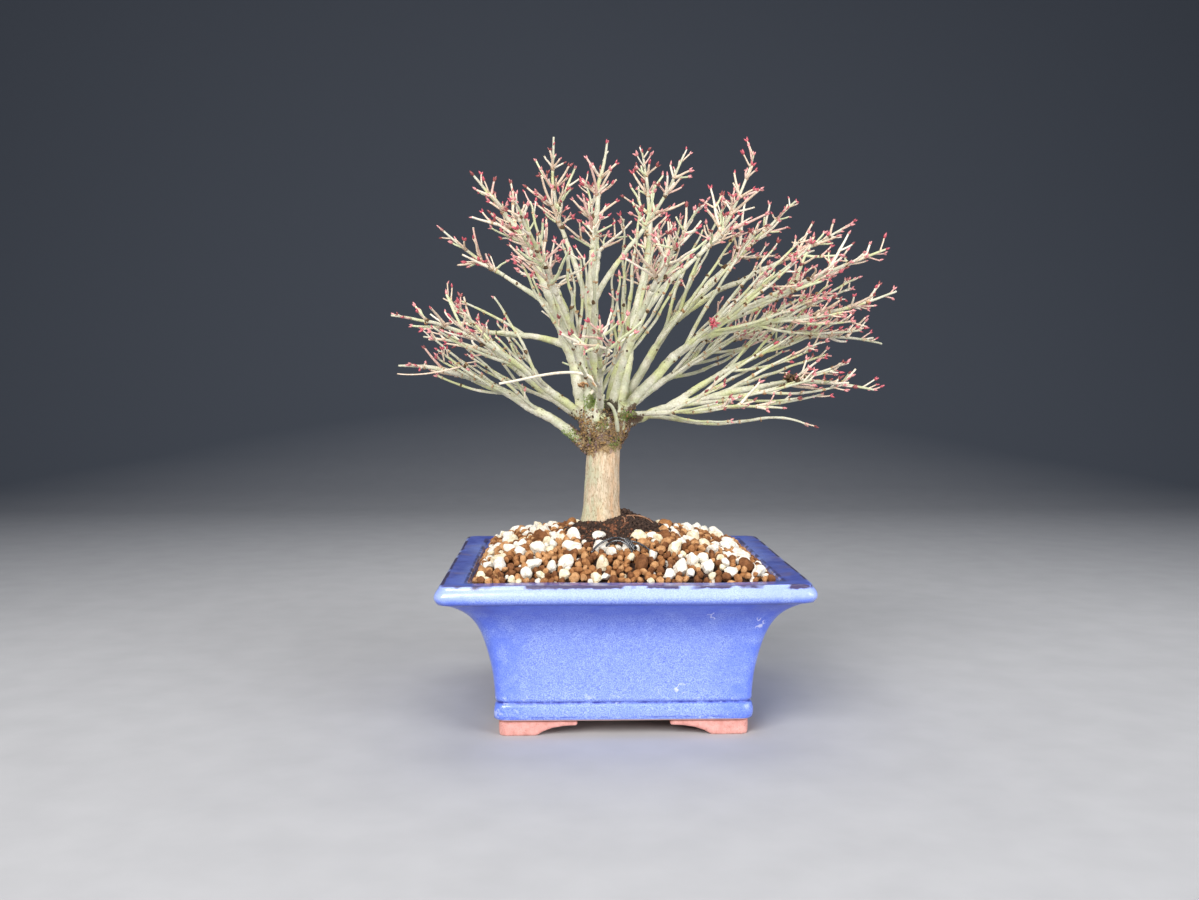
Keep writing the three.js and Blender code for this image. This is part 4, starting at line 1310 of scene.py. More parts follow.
# Light and dark tint, size of the pores and how deep they are
GRAIN_LOOKS = {
    "grains_rust_dark": ((140, 94, 60), (104, 66, 42), 0.7, 0.4),
    "grains_rust_mid": ((180, 128, 82), (144, 96, 60), 0.7, 0.4),
    "grains_rust_light": ((208, 160, 112), (176, 126, 82), 0.7, 0.4),
    "grains_pumice_white": ((250, 247, 238), (228, 220, 202), 0.8, 0.35),
    "grains_pumice_cream": ((246, 236, 210), (224, 206, 168), 0.8, 0.35),
}
RUST = ("grains_rust_dark", "grains_rust_mid", "grains_rust_light")
PUMICE = ("grains_pumice_white", "grains_pumice_white", "grains_pumice_cream")
BARE_OF_GRAINS = ((MOUND, 0.9), (FOOT_MOUND, 0.95), (PATCH, 1))
GRAIN_TRIES = 60
GRAIN_REACH = 79.4
FLARE_ROOM = 13
# Count, half sizes, how far below the heap's surface, share of pale grains, fineness. The first
# are the source's large grains, and the last lie under the others.
GRAIN_LAYERS = (
    (0, None, 0, 0.8, 2),
    (122, (2.4, 4.0), 0.2, 0.92, 2),
    (1150, (1.7, 2.9), 0.6, 0.09, 1),
    (520, (2.6, 3.4), 3.6, 0.2, 1),
)
GRAINS_SEED = 505


def make_grains():
    draws = Draws(GRAINS_SEED)
    shapes = {name: Shape() for name in GRAIN_LOOKS}
    above = np.zeros((0, 4))
    for count, sizes, lower, pale_share, steps in GRAIN_LAYERS:
        others = above if lower < 1 else above[:0]
        grains = scatter(draws, count, sizes, lower, others) if count else large_grains()
        above = np.concatenate([above, grains])
        for *place, size in grains:
            pale = draws.next() < pale_share
            shape = shapes[pick(draws, PUMICE if pale else RUST)]
            points, faces = grain(draws, size, steps, 9 if pale else 6, 0.22 if pale else 0.16)
            shape.add(points + place, faces)
    for name, (light, dark, fine, depth) in GRAIN_LOOKS.items():
        look = grain_look(name, tint(*light), tint(*dark), fine, depth)
        show(name, shapes[name], look).data.shade_flat()


# The peat at the trunk's foot, with bare roots, and the wire that ties the tree down
CRUMBS = 2500
CRUMB_SIZES = (0.5, 1.7)
RUSTY_CRUMBS = 0.07
RUSTY_ON_PATCH = 0.22
PEAT_SEED = 611
ROOTS = 7
ROOTS_SEED = 612
ROOT_STEPS = 26
ROOT_HEADING = (-22, 34)  # the middle one, and how far others turn from it
ROOT_START = 11.5
ROOT_REACH = (24, 42)
ROOT_ARCH = (0.6, 2.2)
ROOT_RADII = (0.5, 0.2)
WIRE_RADIUS = 0.62
WIRE_SIDES = 8
# The ridge of peat off the trunk's right side
RIDGE = ((-2, 1, 111.5), (9, 2, 107), (18, 1, 103.5), (29, -2, 100))
RIDGE_RADII = (3.2, 3.0, 2.4, 1.2)
RIDGE_SHARES = (0, 0.33, 0.66, 1)
# Up to which share of the draws a crumb falls on each oval, and how far out
CRUMB_OVALS = ((0.36, MOUND, 1.15), (0.6, FOOT_MOUND, 1.08), (0.88, PATCH, 1))


def ground_height(x, y):
    """The top of the heap or of the mounds on it"""
    bare = 1.6 if in_oval(x, y, PATCH) < 1 else 0
    tops = [soil_height(soil_share(x, y)) - bare]
    for oval in (MOUND, FOOT_MOUND):
        inside = max(0, 1 - in_oval(x, y, oval) ** 2)
        tops.append(oval[0][2] + oval[1][2] * math.sqrt(inside) if inside else 0)
    return max(tops)


def crumb_place(draws):
    """A place on the mounds, on their ridge or on the patch in front of the trunk"""
    where = draws.next()
    angle, out = TAU * draws.next(), math.sqrt(draws.next())
    for most, (middle, half), reach in CRUMB_OVALS:
        if where < most:
            x = middle[0] + half[0] * out * reach * math.cos(angle)
            y = middle[1] + half[1] * out * reach * math.sin(angle)
            return x, y, ground_height(x, y)
    share = draws.next()
    x, y, z = (np.interp(share, RIDGE_SHARES, values) for values in zip(*RIDGE))
    radius = np.interp(share, RIDGE_SHARES, RIDGE_RADII)
    up = 0.6 * abs(math.sin(2 * angle))
    return x + radius * math.cos(angle), y + radius * math.sin(angle), z + radius * up


def make_mound():
    draws = Draws(PEAT_SEED)
    points, faces = BALLS[4]
    dome = Shape()
    for number, (middle, half) in enumerate((MOUND, FOOT_MOUND)):
        lumps = 0.07 * noise(points, 0.3, 41 + number, 3) + 0.05 * noise(points, 0.12, 45 + number)
        dome.add(points * half * (1 + lumps[:, None]) + middle, faces)
    share = np.linspace(0, 1, 40)
    path = Bezier(*RIDGE).at(share)
    radii = np.interp(share, RIDGE_SHARES, RIDGE_RADII) * (1 + 0.2 * noise(path, 3, 43, 2))
    dome.add(*tube(path, radii, 14))
    show("peat_mound", dome, peat_look())
    for _ in range(CRUMBS):
        x, y, z = crumb_place(draws)
        size = draws.between(*CRUMB_SIZES)
        rusty = draws.next() < (RUSTY_ON_PATCH if in_oval(x, y, PATCH) < 1 else RUSTY_CRUMBS)
        points, faces = grain(draws, size, 1, 4, 0.25)
        if math.hypot(x - TRUNK_X, y - TRUNK_Y) > FLARE_RADIUS - 1:
            crumbs = plain["peat_crumbs_rust" if rusty else "peat_crumbs"]
            crumbs.add(points + (x, y, z + 0.2 * size), faces)


def make_roots():
    draws = Draws(ROOTS_SEED)
    share = np.linspace(0, 1, ROOT_STEPS)
    for number in range(ROOTS):
        heading = math.radians(draws.about(*ROOT_HEADING))
        out = mix(ROOT_START, draws.between(*ROOT_REACH), share)
        arch = draws.between(*ROOT_ARCH)
        turn = heading + 0.3 * np.sin(2.6 * share + 2.1 * number)
        x, y = TRUNK_X + out * np.cos(turn), TRUNK_Y + out * np.sin(turn)
        ground = np.array([ground_height(*spot) for spot in zip(x, y)])
        z = ground + 0.6 + arch * np.sin(math.pi * share) ** 2 - 1.4 * share**4
        radii = np.linspace(*ROOT_RADII, ROOT_STEPS) * draws.between(0.7, 1.2)
        plain["bare_roots"].add(*tube(np.stack([x, y, z], -1), radii, 6))


# Along each bend of the tie wire: x, y and height over the ground
WIRE_BENDS = (
    ((-17, -54, 0.2), (-13, -49, 3.5), (-7, -45, 5.4), (-1, -45, 5.6), (4, -48, 3.2)),
    ((-9, -47, 0.4), (-6, -48, 4.8), (-1, -49, 5.8), (3, -50, 3.6), (5, -54, 0.4)),
    ((3, -46, 2.8), (8, -47, 3.6), (12, -51, 2.2), (16, -55, 0.3)),
)
WIRE_END = (2.0, -47.5, 4.2)
WIRE_END_RUN = np.array([4.5, -8.5, -3.6])
WIRE_TWISTS = 3.2
WIRE_BEND_STEPS = 26
WIRE_TWIST_STEPS = 40
STRAND_OUT = 0.85


def make_wire():
    """The dark wire that ties the tree down: loose bends over the grains and a twisted end"""
    shape = plain["tie_wire"]
    for bends in WIRE_BENDS:
        curve = Bezier(*((x, y, ground_height(x, y) + high) for x, y, high in bends))
        path = curve.at(np.linspace(0, 1, WIRE_BEND_STEPS))
        shape.add(*tube(path, np.full(WIRE_BEND_STEPS, WIRE_RADIUS), WIRE_SIDES))
    share = np.linspace(0, 1, WIRE_TWIST_STEPS)
    x, y, high = WIRE_END
    start = np.array([x, y, ground_height(x, y) + high])
    for strand in (0, math.pi):
        turn = WIRE_TWISTS * TAU * share + strand
        twist = np.stack([np.cos(turn), 0 * turn, np.sin(turn)], -1) * STRAND_OUT
        path = start + WIRE_END_RUN * share[:, None] + twist
        shape.add(*tube(path, np.full(WIRE_TWIST_STEPS, WIRE_RADIUS), WIRE_SIDES))


# The trunk
def trunk_radius(height, angle):
    above = height - TRUNK_BASE
    flare = np.exp(-above / FLARE_FADE)
    swell = smooth(KNUCKLE_START, KNUCKLE_FULL, height)
    roots = ROOT_LOBE_DEEP * flare * np.cos(ROOT_LOBES * angle + ROOT_LOBE_TURN)
    lumps = KNUCKLE_LOBE_DEEP * swell * np.cos(KNUCKLE_LOBES * angle)
    dome = np.maximum(0, (height - KNUCKLE_DOME) / (TRUNK_TOP - KNUCKLE_DOME))
    radius = WAIST_RADIUS + (FLARE_RADIUS - WAIST_RADIUS) * flare + (KNUCKLE_RADIUS - WAIST_RADIUS) * swell
    return (radius + roots + lumps) * np.sqrt(1 - (1 - TRUNK_END_SHARE**2) * dome * dome)


def trunk_middle(height):
    share = smooth(TRUNK_BASE, KNUCKLE_DOME, height)
    return np.stack([TRUNK_X + TRUNK_LEAN_X * share, TRUNK_Y + TRUNK_LEAN_Y * share, height], -1)


def trunk_rings(low, high, every, sides, extra=0.0):
    """The trunk's skin as rings, with streaks, lumps and fine level rings"""
    heights = np.linspace(low, high, int((high - low) / every) + 1)
    height, angle = np.meshgrid(heights, TAU * np.arange(sides) / sides, indexing="ij")
    out = np.stack([np.cos(angle), np.sin(angle), 0 * angle], -1)
    middle = trunk_middle(height)
    radius = trunk_radius(height, angle) + extra
    streaks = noise(np.stack([out[..., 0] * 9, out[..., 1] * 9, height / 9], -1), 1.3, 71, 2)
    lumps = noise(middle + out * radius[..., None], 9, 72, 2)
    rings = noise(np.stack([out[..., 0] * 2, out[..., 1] * 2, height], -1), 1.7, 73)
    radius = radius + 0.22 * streaks + 0.45 * lumps + 0.07 * rings
    return middle + out * radius[..., None]


def make_trunk():
    shape = Shape()
    shape.add(*closed_rings(trunk_rings(TRUNK_BASE - 4, TRUNK_TOP - 2, 0.8, 96)))
    piece = show("trunk_bark", shape, trunk_look())
    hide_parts("trunk")
    return points_of(piece.data), normals_of(piece.data)


# The boughs: tubes that are melted together with the knuckle, then given nodes and fine ridges
NODES_APART = 13.0
BARK_VOXEL = 0.00045  # metres
BOUGH_TRIANGLES = 130000


def swayed(path, offsets, sway, size, seed, bow=0.0):
    """A path moved to its sides by two noises that are read at the offsets, and by a bow"""
    normals, others = transported(path)
    path = path + normals * (sway * noise(offsets, size, seed) + bow)[:, None]
    return path + others * (sway * noise(offsets, size, seed + 1))[:, None]


def bough_path(bough, number):
    count = max(8, int(bough.curve.length / 1.6))
    share = np.linspace(0, 1, count)
    along = share * bough.curve.length
    offsets = np.column_stack([along, np.full(count, 50.0 * number), np.zeros(count)])
    path = swayed(bough.curve.at(share), offsets, np.sin(math.pi * share) ** 0.5 * 0.9, 15, 81)
    foot = 0.3 * np.exp(-along / 7) if bough.bearer is None else 0.22 * np.exp(-along / 4)
    knots = np.cos(TAU * (along / NODES_APART - 0.5)) ** 8 * 0.09
    return path, bough.radius(share) * (1 + foot + knots + 0.06 * noise(offsets, 9, 83))


def make_boughs_mesh():
    shape = Shape()
    for number, bough in enumerate(boughs.values()):
        shape.add(*tube(*bough_path(bough, number), 14))
    shape.add(*closed_rings(trunk_rings(KNUCKLE_START + 4, TRUNK_TOP - 1.5, 1.2, 40, 0.25)))
    mesh = modified(
        shape.mesh("boughs"),
        ("REMESH", {"mode": "VOXEL", "voxel_size": BARK_VOXEL}),
        ("SMOOTH", {"factor": 0.5, "iterations": 6}),
    )
    points, normals = points_of(mesh), normals_of(mesh)
    relief = 0.16 * noise(points, 1.6, 91, 2) + 0.22 * noise(points, 5, 92)
    off_axis = np.hypot(points[:, 0] - TRUNK_X - 2, points[:, 1])
    crust = smooth(176, 158, points[:, 2]) * smooth(26, 15, off_axis)
    relief += crust * 0.5 * np.abs(noise(points, 2.4, 93, 2))
    move_points(mesh, points + normals * relief[:, None])
    mesh = modified(mesh, ("DECIMATE", {"ratio": min(1.0, BOUGH_TRIANGLES / (2 * len(mesh.polygons)))}))
    mesh.shade_smooth()
    piece = show("boughs_bark", mesh, limb_look("bough_bark", KNUCKLE_STAINS_AND_SHADE))
    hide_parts(*("bough_" + name for name in boughs))
    return points_of(mesh), normals_of(mesh)


# The ragged collar of old bark round the knuckle, and moss in its forks
FIBRE_DEAL = ("collar_fibres_brown",) * 4 + ("collar_fibres_purple",) * 2 + ("collar_fibres_dark",)
# Middle and radius of each patch of moss, and its blades
MOSS_PATCHES = (
    ((-29, -9, 155), 9, 420),
    ((-21, -10, 152), 6, 240),
    ((-15, -11, 175), 9, 520),
    ((-10, -13, 163), 5, 220),
    ((4, -11, 168), 6, 260),
    ((-1, -10, 151), 6, 260),
    ((-8, 10, 168), 9, 200),
    ((10, 4, 166), 7, 120),
)
COLLAR_LOW = 147
COLLAR_HIGH = 172
COLLAR_RADIUS = 19
COLLAR_FIBRES = 3400
COLLAR_CRUMBS = 560
COLLAR_SEED = 3301
FIBRE_LENGTH = (1.0, 3.4)
FIBRE_RADIUS = (0.14, 0.3)
COLLAR_CRUMB_SIZE = (0.35, 0.95)
GREEN_MOSS = 0.6
MOSS_LENGTH = (0.5, 1.3)
MOSS_RADIUS = (0.16, 0.34)


def spike(shape, start, way, length, radius, sides=3):
    """A thin cone"""
    points = np.concatenate([start + radius * ring_round(way, sides), [start + way * length]])
    here = np.arange(sides)
    shape.add(points, np.stack([here, (here + 1) % sides, np.full(sides, sides)], -1), [here[::-1]])


def dress_knuckle(*surfaces):
    """Fibres, crumbs and moss on the surfaces, each given as its points and their normals"""
    surface, normals = (np.concatenate(parts) for parts in zip(*surfaces))
    draws = Draws(COLLAR_SEED)
    away = np.hypot(surface[:, 0] - TRUNK_X - 1, surface[:, 1])
    ragged = COLLAR_LOW + 1 + 5 * noise(surface * (1, 1, 0.3), 6, 33, 2) + 0.25 * (surface[:, 0] - TRUNK_X)
    band = (surface[:, 2] > ragged) & (surface[:, 2] < COLLAR_HIGH) & (away < COLLAR_RADIUS)
    places = np.flatnonzero(band)
    for _ in range(COLLAR_FIBRES):
        spot = pick(draws, places)
        if draws.next() < smooth(166, COLLAR_HIGH, surface[spot, 2]):
            continue
        shape = plain[pick(draws, FIBRE_DEAL)]
        along = unit(np.cross(normals[spot], random_turn(draws)[0]))
        way = unit(along + normals[spot] * draws.between(0.1, 0.75))
        start = surface[spot] - way * 0.3
        spike(shape, start, way, draws.between(*FIBRE_LENGTH), draws.between(*FIBRE_RADIUS))
    for _ in range(COLLAR_CRUMBS):
        spot = pick(draws, places)
        points, faces = grain(draws, draws.between(*COLLAR_CRUMB_SIZE), 1, 3, 0.2)
        plain[pick(draws, FIBRE_DEAL)].add(points + surface[spot] + normals[spot] * 0.15, faces)
    for middle, radius, count in MOSS_PATCHES:
        near = np.flatnonzero(np.linalg.norm(surface - middle, axis=1) < radius)
        for _ in range(count * 2):
            spot = pick(draws, near)
            if np.linalg.norm(surface[spot] - middle) > radius * draws.between(0.45, 1):
                continue
            way = unit(normals[spot] + 0.6 * random_turn(draws)[0])
            shape = plain["moss_green" if draws.next() < GREEN_MOSS else "moss_light"]
            start = surface[spot] - normals[spot] * 0.2
            spike(shape, start, way, draws.between(*MOSS_LENGTH), draws.between(*MOSS_RADIUS))


# Twigs: radii at the base, how much thicker for each millimetre of length, and radii at the tip,
# by order
TWIG_RADII = {1: (0.6, 0.016, 0.54), 2: (0.55, 0.009, 0.48), 3: (0.48, 0, 0.4)}
STEM_TIP = 1.1
SIDES = {0: 9, 1: 7, 2: 6, 3: 5}
TWIG_STEP = {0: 1.6, 1: 1.8, 2: 1.8, 3: 1.8}
KINK = 0.55


def twig_radius(shoot, share):
    if shoot.order == 0:
        return 0.5 * mix(shoot.wide, STEM_TIP, share)
    base, thicker, tip = TWIG_RADII[shoot.order]
    return mix(base + thicker * shoot.length, tip, share)


def kinked(share, shoot):
    """A bow to either side in turn from node to node, so that the shoot bends at each node"""
    joints = [0.0, *(node for node in shoot.nodes if 0.02 < node < 0.96), 1.0]
    bow = np.zeros(len(share))
    for number, (low, high) in enumerate(zip(joints[:-1], joints[1:])):
        inside = (share >= low) & (share <= high)
        bow[inside] = (-1) ** number * np.sin(math.pi * (share[inside] - low) / (high - low))
    return bow if len(joints) > 2 else 0 * bow


def twig_tube(shape, shoot, serial):
    count = max(4, int(shoot.length / TWIG_STEP[shoot.order]) + 1)
    share = np.linspace(0, 1, count)
    path = shoot.curve.at(share)
    along = share * shoot.length
    radii = twig_radius(shoot, share)
    if count > 4:
        offsets = np.column_stack([along, np.full(count, 31.0 * serial), np.zeros(count)])
        path = swayed(path, offsets, np.sin(math.pi * share) * 0.35, 9, 84, KINK * kinked(share, shoot))
        radii = radii * (1 + 0.07 * noise(offsets, 2.5, 86))
    for node in shoot.nodes:
        radii = radii * (1 + 0.2 * np.exp(-(((along - node * shoot.length) / 1.1) ** 2)))
    if shoot.order:
        radii = radii * (1 + 0.3 * np.exp(-along / 1.2))
    shape.add(*tube(kept_in_box(path, radii), radii, SIDES[shoot.order]))


def kept_in_box(path, radii):
    """A path moved inside the whole plant's box, with room for its radii"""
    room = np.asarray(radii, float)[:, None] * 1.1 + 0.05
    return np.clip(path, BOX_LOW + room, BOX_HIGH - room)


def in_box(points, margin=0.3):
    return bool(((points < BOX_HIGH - margin) & (points > BOX_LOW + margin)).all())


# Share of its length and of its half width at each ring of a bud
BUD_SIDES = 5
BUD_PROFILE = ((0.0, 0.55), (0.35, 1.0), (0.7, 0.66), (1.0, 0.06))


def add_bud(name, start, way, length, wide, twist):
    ring = ring_round(way, BUD_SIDES, twist)
    rings = [start + way * (length * at) + ring * (wide / 2 * r) for at, r in BUD_PROFILE]
    points, *faces = closed_rings(np.array(rings))
    if in_box(points, 0.05):
        plain[name].add(points, *faces)


INNER_TWIGS = ("twigs_green", "twigs_cream", "twigs_cream", "twigs_tan")
OUTER_TWIGS = ("twigs_green", "twigs_cream", "twigs_tan", "twigs_tan", "twigs_pink")
FINE_TWIGS = ("twigs_cream", "twigs_tan", "twigs_tan", "twigs_pink", "twigs_pink", "twigs_red")
SPUR_TWIGS = ("twigs_cream", "twigs_tan", "twigs_tan", "twigs_pink")
PAIR_BUDS = ("buds_crimson", "buds_crimson", "buds_rose", "buds_rose", "buds_rose", "buds_dark")
OPEN_BUD_DEAL = ("buds_crimson", "buds_crimson", "buds_rose")
BUD_MISSING = 0.14
BUD_SPREAD = 24
BUD_SPREAD_JITTER = 10
# Lengths of the buds at a shoot's end, next to it, at its nodes and on spurs
END_BUDS = (2.4, 3.2)
SECOND_BUDS = (1.6, 2.3)
NODE_BUDS = (1.5, 2.4)
SPUR_BUDS = (2.2, 3.2)
SPUR_LEAST = 2.5
SPUR_MOST = 9.0
SPUR_SPREAD = 40
SPUR_SPREAD_JITTER = 13
SPUR_STEEPEST_FALL = -0.4
BOUGH_SPUR_EVERY = 9.0
STEM_SPUR_EVERY = 7.0
SPUR_CHANCE = 0.3
INNER_SPURS = 0.2
SIDE_BUDS_CHANCE = 0.06
SIDE_PAIR_CHANCE = 0.1
CUT_CHANCE = 0.16
STEM_END_SPURS = (1.5, 4.5, 8.0)  # before the stem's tip
STEM_END_CHANCE = 0.7
BOUGH_CRUST_EVERY = 3.4
CRUST_CHANCE = 0.22
SCRAP_CHANCE = 0.3
BOUGH_CRUST_CHANCE = 0.5
BARE_FOOT = 0.34  # share of a bough that has no spurs, from the knuckle or from a fork
BARE_FORK = 0.2
DRESS_SEED_FACTOR = 3
DRESS_SEED_ADDED = 11
BOUGH_SEED = 7000
BOUGH_SEED_STEP = 13
# Along a shoot and out from it, for a node's ring
RING_ALONG = np.array([-0.55, -0.2, 0.2, 0.55])
RING_OUT = np.array([0.9, 1.0, 1.0, 0.9])
SCRAP_OUTLINE = np.array(
    [(-0.5, -0.9, 0), (0.5, -0.9, 0.1), (0.7, 0.1, 0.3), (0, 1.1, 0), (-0.6, 0.2, 0.25)]
)
SCRAP_THICK = 0.12
thin_limbs = Shape()


def bud_pair(shoot, share, draws, size):
    at, way = shoot.curve.at(share), shoot.curve.way(share)
    level = level_side(way, TAU * draws.next())
    name = pick(draws, PAIR_BUDS)
    for side in (1, -1):
        if draws.next() < BUD_MISSING:
            continue
        lean = leaning(way, level * side, draws, BUD_SPREAD, BUD_SPREAD_JITTER)
        length = size * draws.about(1, 0.22)
        start = at + level * side * (twig_radius(shoot, share) * 0.5) - lean * 0.3
        add_bud(name, start, lean, length, length * draws.between(0.42, 0.54), draws.next())


def spur(bearer, share, radius, draws, serial, chance=SPUR_CHANCE):
    """A short shoot with buds at its end, seldom near the knuckle"""
    at, way = bearer.at(share), bearer.way(share)
    if draws.next() > chance * (INNER_SPURS + outer(at)):
        return
    level = level_side(way, TAU * draws.next())
    out = leaning(way, level, draws, SPUR_SPREAD, SPUR_SPREAD_JITTER)
    if out[2] < SPUR_STEEPEST_FALL:
        out = unit(out * (1, 1, -0.5))
    length = draws.between(SPUR_LEAST, SPUR_MOST) + radius * 0.5
    curve = shoot_curve(at + out * (radius * 0.5), out, length, draws)
    if in_box(curve.at(np.linspace(0, 1, 4)), 2.0):
        made = Shoot(curve, length, ORDERS, draws.state)
        twig_tube(plain[pick(draws, SPUR_TWIGS)], made, serial)
        bud_pair(made, 0.98, draws, draws.between(*SPUR_BUDS))


def cut_end(shoot):
    end, way, radius = shoot.curve.at(1.0), shoot.curve.way(1.0), twig_radius(shoot, 1.0)
    path = kept_in_box(np.array([end - way * 0.3, end + way * 0.18]), [radius, radius])
    plain["twig_cut_ends"].add(*tube(path, [radius * 1.04, radius * 0.98], 8))


def node_ring(shoot, node, draws):
    """A swollen ring at a node, now and then with a dark crust on it"""
    at, way = shoot.curve.at(node), shoot.curve.way(node)
    radius = twig_radius(shoot, node) * 1.24 + 0.05
    plain["twig_node_rings"].add(*tube(at + np.outer(RING_ALONG, way), RING_OUT * radius, 7))
    if draws.next() < CRUST_CHANCE * (0.3 + radius):
        crust(at + unit(random_turn(draws)[0]) * radius * 0.5, radius * draws.between(0.9, 1.25), draws)


def crust(at, size, draws):
    points, faces = grain(draws, size, 1, 4, 0.3)
    plain["twig_node_crusts"].add(points + at, faces)


def scrap(at, draws, large=1.0, name="twig_scraps"):
    """A papery bud scale that hangs at a node"""
    turn = random_turn(draws) * draws.between(0.7, 1.6) * large
    points = np.concatenate([SCRAP_OUTLINE, SCRAP_OUTLINE - (0, 0, SCRAP_THICK)])
    ring = np.arange(5)
    after = (ring + 1) % 5
    walls = np.stack([ring + 5, after + 5, after, ring], -1)
    plain[name].add(points @ turn.T + at, [ring], [ring[::-1] + 5], walls)


def grow(shoot, serial):
    """One stem or twig, with the buds, rings, scales and spurs on it"""
    draws = Draws(shoot.seed * DRESS_SEED_FACTOR + DRESS_SEED_ADDED)
    if shoot.order == 0:
        shape = thin_limbs
    elif shoot.order == ORDERS:
        shape = plain[pick(draws, FINE_TWIGS)]
    else:
        far = outer(shoot.curve.at(1.0)) > 0.5
        shape = plain[pick(draws, OUTER_TWIGS if far else INNER_TWIGS)]
    twig_tube(shape, shoot, serial)
    if 0 < shoot.order < ORDERS and draws.next() < CUT_CHANCE:
        cut_end(shoot)
    else:
        bud_pair(shoot, 0.985, draws, draws.between(*END_BUDS))
        if draws.next() < SIDE_PAIR_CHANCE:
            bud_pair(shoot, 0.92, draws, draws.between(*SECOND_BUDS))
    for node in shoot.nodes:
        if draws.next() < SIDE_BUDS_CHANCE:
            bud_pair(shoot, node, draws, draws.between(*NODE_BUDS))
        if shoot.order < 2:
            node_ring(shoot, node, draws)
            if draws.next() < SCRAP_CHANCE:
                way = random_turn(draws)[0]
                scrap(shoot.curve.at(node) + way * twig_radius(shoot, node) * 1.3, draws)
    if shoot.order == 0:
        for share in np.arange(0.12, 0.94, STEM_SPUR_EVERY / shoot.length):
            spur(shoot.curve, share, twig_radius(shoot, share), draws, serial)
        for along in STEM_END_SPURS:
            share = 1 - along / shoot.length
            spur(shoot.curve, share, twig_radius(shoot, share), draws, serial, STEM_END_CHANCE)


def dress_bough(bough, number):
    """Spurs and crusts along a bough"""
    draws = Draws(BOUGH_SEED + BOUGH_SEED_STEP * number)
    first = BARE_FOOT if bough.bearer is None else BARE_FORK
    for share in np.arange(first, 0.98, BOUGH_SPUR_EVERY / bough.curve.length):
        spur(bough.curve, share, bough.radius(share), draws, len(all_shoots))
    for share in np.arange(first, 1, BOUGH_CRUST_EVERY / bough.curve.length):
        outward = level_side(bough.curve.way(share), TAU * draws.next())
        if draws.next() < BOUGH_CRUST_CHANCE:
            at = bough.curve.at(share) + outward * bough.radius(share)
            crust(at, draws.between(0.35, 0.8), draws)


# Single things that the photo shows: a bowed pale twig and cut stubs at the knuckle, a long dry
# twig, a curled scale, a bunch of opening buds and a clot of dead leaf
BOWED_TWIG = ((-14, -11, 180), (-4, -17, 193), (-30, -20, 197), (-46, -26, 189), (-67, -32, 186))
STUB = ((-13, -12, 165), (-12, -14.5, 173), (-10.5, -15.5, 180))
HOOKED_STUB = ((-1.2, -9.5, 159), (-1.4, -14.6, 164), (-2.6, -16.4, 174), (-7.4, -17, 175))
CUT_STUBS = (((-19, -10, 181), (-21, -14, 183.5)), ((-15, -11, 182), (-14, -14.5, 184.5)))
DRY_TWIG = ((-92, -20, 191), (-110, -21.5, 189.5), (-124, -22, 191.4))
SCALE_MIDDLE = (-28, -15, 183)
OPEN_BUDS = (47, -30, 219)
OPEN_BUD_COUNT = 26
SCALE_SCRAPS = 7
MARKS_SEED = 4242
DEAD_CLOT = (98, -20, 194)
DEAD_SCRAPS = 34


def middle_lines(limbs, count):
    share = np.linspace(0.1, 1, count)
    return np.concatenate([limb.curve.at(share) for limb in limbs])


def nearest(points, place):
    return points[np.argmin(np.linalg.norm(points - place, axis=1))]


def make_marks():
    draws = Draws(MARKS_SEED)
    share = np.linspace(0, 1, 30)
    wood, sprigs = middle_lines(boughs.values(), 40), middle_lines(all_shoots, 12)
    bowed = Bezier(nearest(wood, BOWED_TWIG[0]), *BOWED_TWIG[1:])
    plain["twigs_cream"].add(*tube(bowed.at(share), mix(0.95, 0.7, share), 8))
    thin_limbs.add(*tube(Bezier(*STUB).at(share), mix(2.7, 2.2, share), 12))
    hook = mix(1.35, 0.85, share) * np.sqrt(1 - np.maximum(0, (share - 0.93) / 0.075) ** 2)
    thin_limbs.add(*tube(Bezier(*HOOKED_STUB).at(share), hook, 12))
    for places in CUT_STUBS:
        curve = Bezier(*places)
        thin_limbs.add(*tube(curve.at(share), mix(1.2, 0.95, share), 10))
        end = np.array([curve.at(0.98), curve.at(1.0) + curve.way(1.0) * 0.15])
        plain["twig_cut_ends"].add(*tube(end, [0.97, 0.85], 10))
    dry = Bezier(nearest(sprigs, DRY_TWIG[0]), *DRY_TWIG[1:])
    plain["twigs_tan"].add(*tube(dry.at(share), mix(0.6, 0.34, share), 6))
    scale = nearest(wood, SCALE_MIDDLE) + (0, -2.4, 0)
    for number in range(SCALE_SCRAPS):
        scrap(scale + (1.1 * number - 3.3, 0.4 * (number % 3 - 1), 0.9 * (number % 2)), draws, 1.7)
    heart = nearest(sprigs, OPEN_BUDS)
    for number in range(OPEN_BUD_COUNT):
        way = unit(random_turn(draws)[0] + np.array([0.15, -0.5, 0.35]))
        name = pick(draws, OPEN_BUD_DEAL)
        add_bud(name, heart + way * 0.8, way, draws.between(2.6, 4.2), draws.between(1.0, 1.7), number)
    clot = nearest(sprigs, DEAD_CLOT)
    for _ in range(DEAD_SCRAPS):
        spot = nearest(sprigs, clot + random_turn(draws)[0] * draws.between(0.5, 7) * (1.6, 1, 0.6))
        scrap(spot + random_turn(draws)[0] * 0.8, draws, 1.9, "twig_node_crusts")


def make_twigs():
    for serial, shoot in enumerate(all_shoots, 1):
        grow(shoot, serial)
    for number, bough in enumerate(boughs.values()):
        dress_bough(bough, number)
    make_marks()
    show("limbs_thin", thin_limbs, limb_look("limb_bark"))
    shown = show_plain("twigs")
    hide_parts(*("twigs_" + mass.name for mass in masses))


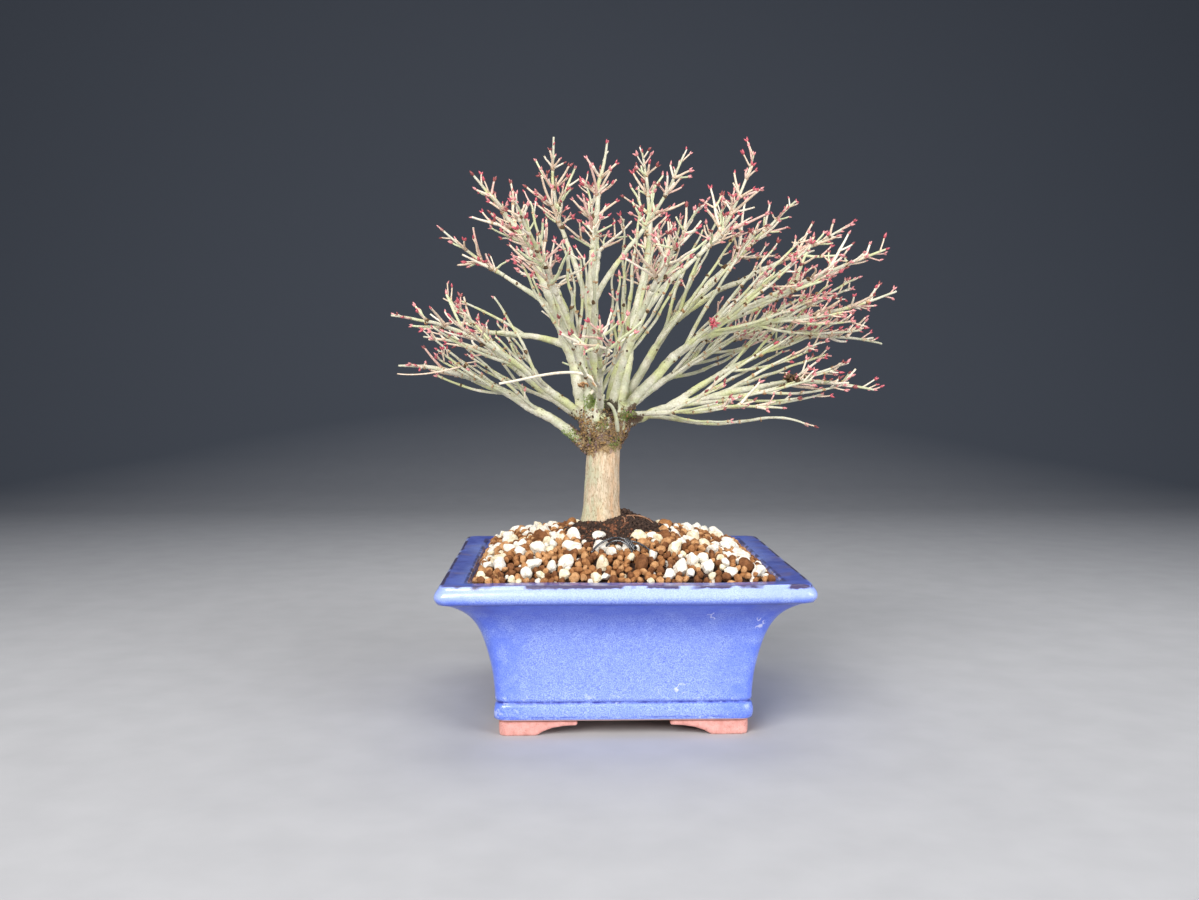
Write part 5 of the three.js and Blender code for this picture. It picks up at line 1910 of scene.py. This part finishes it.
# The floor, in metres
FLOOR_HALF_WIDE = 3.0
FLOOR_NEAR = -2.5
FLOOR_DEPTH = 1.9
FLOOR_RISE = 2.6
FLOOR_BEND = 0.9
FLOOR_LIGHT = (0.43, 0.43, 0.44)
FLOOR_SHADE = (0.40, 0.40, 0.41)
BACKDROP = (0.07, 0.08, 0.1)
STUDIO_LIGHT = (0.13, 0.145, 0.175)
AIM = np.array([0, 0, 0.17])
# Place, side of the square, power and colour
LIGHTS = {
    "key": ((-0.7, -1.25, 1.0), 1.0, 36, (1.0, 0.98, 0.96)),
    "fill": ((1.1, -1.0, 0.6), 1.0, 20, (0.97, 0.98, 1.0)),
    "top": ((0.1, 0.4, 1.5), 0.9, 9, (1.0, 1.0, 1.0)),
}


def make_stage():
    """A floor that is pale round the pot and turns dark grey further out and up its backdrop, a painted pool
    of light, and soft lights
    """
    profile = [(FLOOR_NEAR, 0.0), (FLOOR_DEPTH - FLOOR_BEND, 0.0)]
    for angle in np.radians(np.arange(10, 91, 10)):
        y = FLOOR_DEPTH - FLOOR_BEND + FLOOR_BEND * math.sin(angle)
        profile.append((y, FLOOR_BEND - FLOOR_BEND * math.cos(angle)))
    profile.append((FLOOR_DEPTH, FLOOR_RISE))
    points = [(side * FLOOR_HALF_WIDE, y, z) for y, z in profile for side in (-1, 1)]
    faces = [(2 * i, 2 * i + 1, 2 * i + 3, 2 * i + 2) for i in range(len(profile) - 1)]
    mesh = bpy.data.meshes.new("floor")
    mesh.from_pydata(points, [], faces)
    mesh.shade_smooth()
    look = Look("floor", FLOOR_SHADE, 0.85, 0.2)
    look.lay(FLOOR_LIGHT, look.spots(30, 3, 0.5, 0.3, 0.7))
    # Painted pool of light: pale round the pot, fading to dark grey with distance from it
    away = look.node("VectorMath", {0: look.place}, "Value", operation="LENGTH")
    look.lay(BACKDROP, look.span(away, 450, 1500))
    mesh.materials.append(look.made())
    floor = loose_object("floor", mesh)

    world = bpy.data.worlds.new("studio")
    bpy.context.scene.world = world
    world.use_nodes = True
    background = world.node_tree.nodes["Background"]
    background.inputs["Color"].default_value = (*STUDIO_LIGHT, 1)
    background.inputs["Strength"].default_value = 1.0
    bpy.context.scene.view_settings.view_transform = "Standard"

    for name, (place, size, power, colour) in LIGHTS.items():
        data = bpy.data.lights.new(name, "AREA")
        data.shape = "RECTANGLE"
        data.size = data.size_y = size
        data.energy = power
        data.color = colour
        light = loose_object(name, data)
        light.location = place
        x, y, z = place - AIM
        light.rotation_euler = (math.atan2(math.hypot(x, y), z), 0, math.atan2(x, -y))


def make_camera():
    data = bpy.data.cameras.new("camera")
    data.lens, data.sensor_width = CAMERA_LENS, SENSOR
    data.clip_start, data.clip_end = 0.01, 50
    camera = loose_object("camera", data)
    camera.location = np.array(CAMERA_PLACE) / MM + POT_MIDDLE
    camera.rotation_euler = (math.radians(90 + CAMERA_PITCH), 0, math.radians(CAMERA_HEADING))
    bpy.context.scene.camera = camera


make_camera()
make_stage()
make_pot()
make_feet()
make_heap()
make_grains()
make_mound()
make_roots()
make_wire()
show_plain("soil_grains")
dress_knuckle(make_trunk(), make_boughs_mesh())
show_plain("bough_bark")
make_twigs()

bpy.context.view_layer.update()
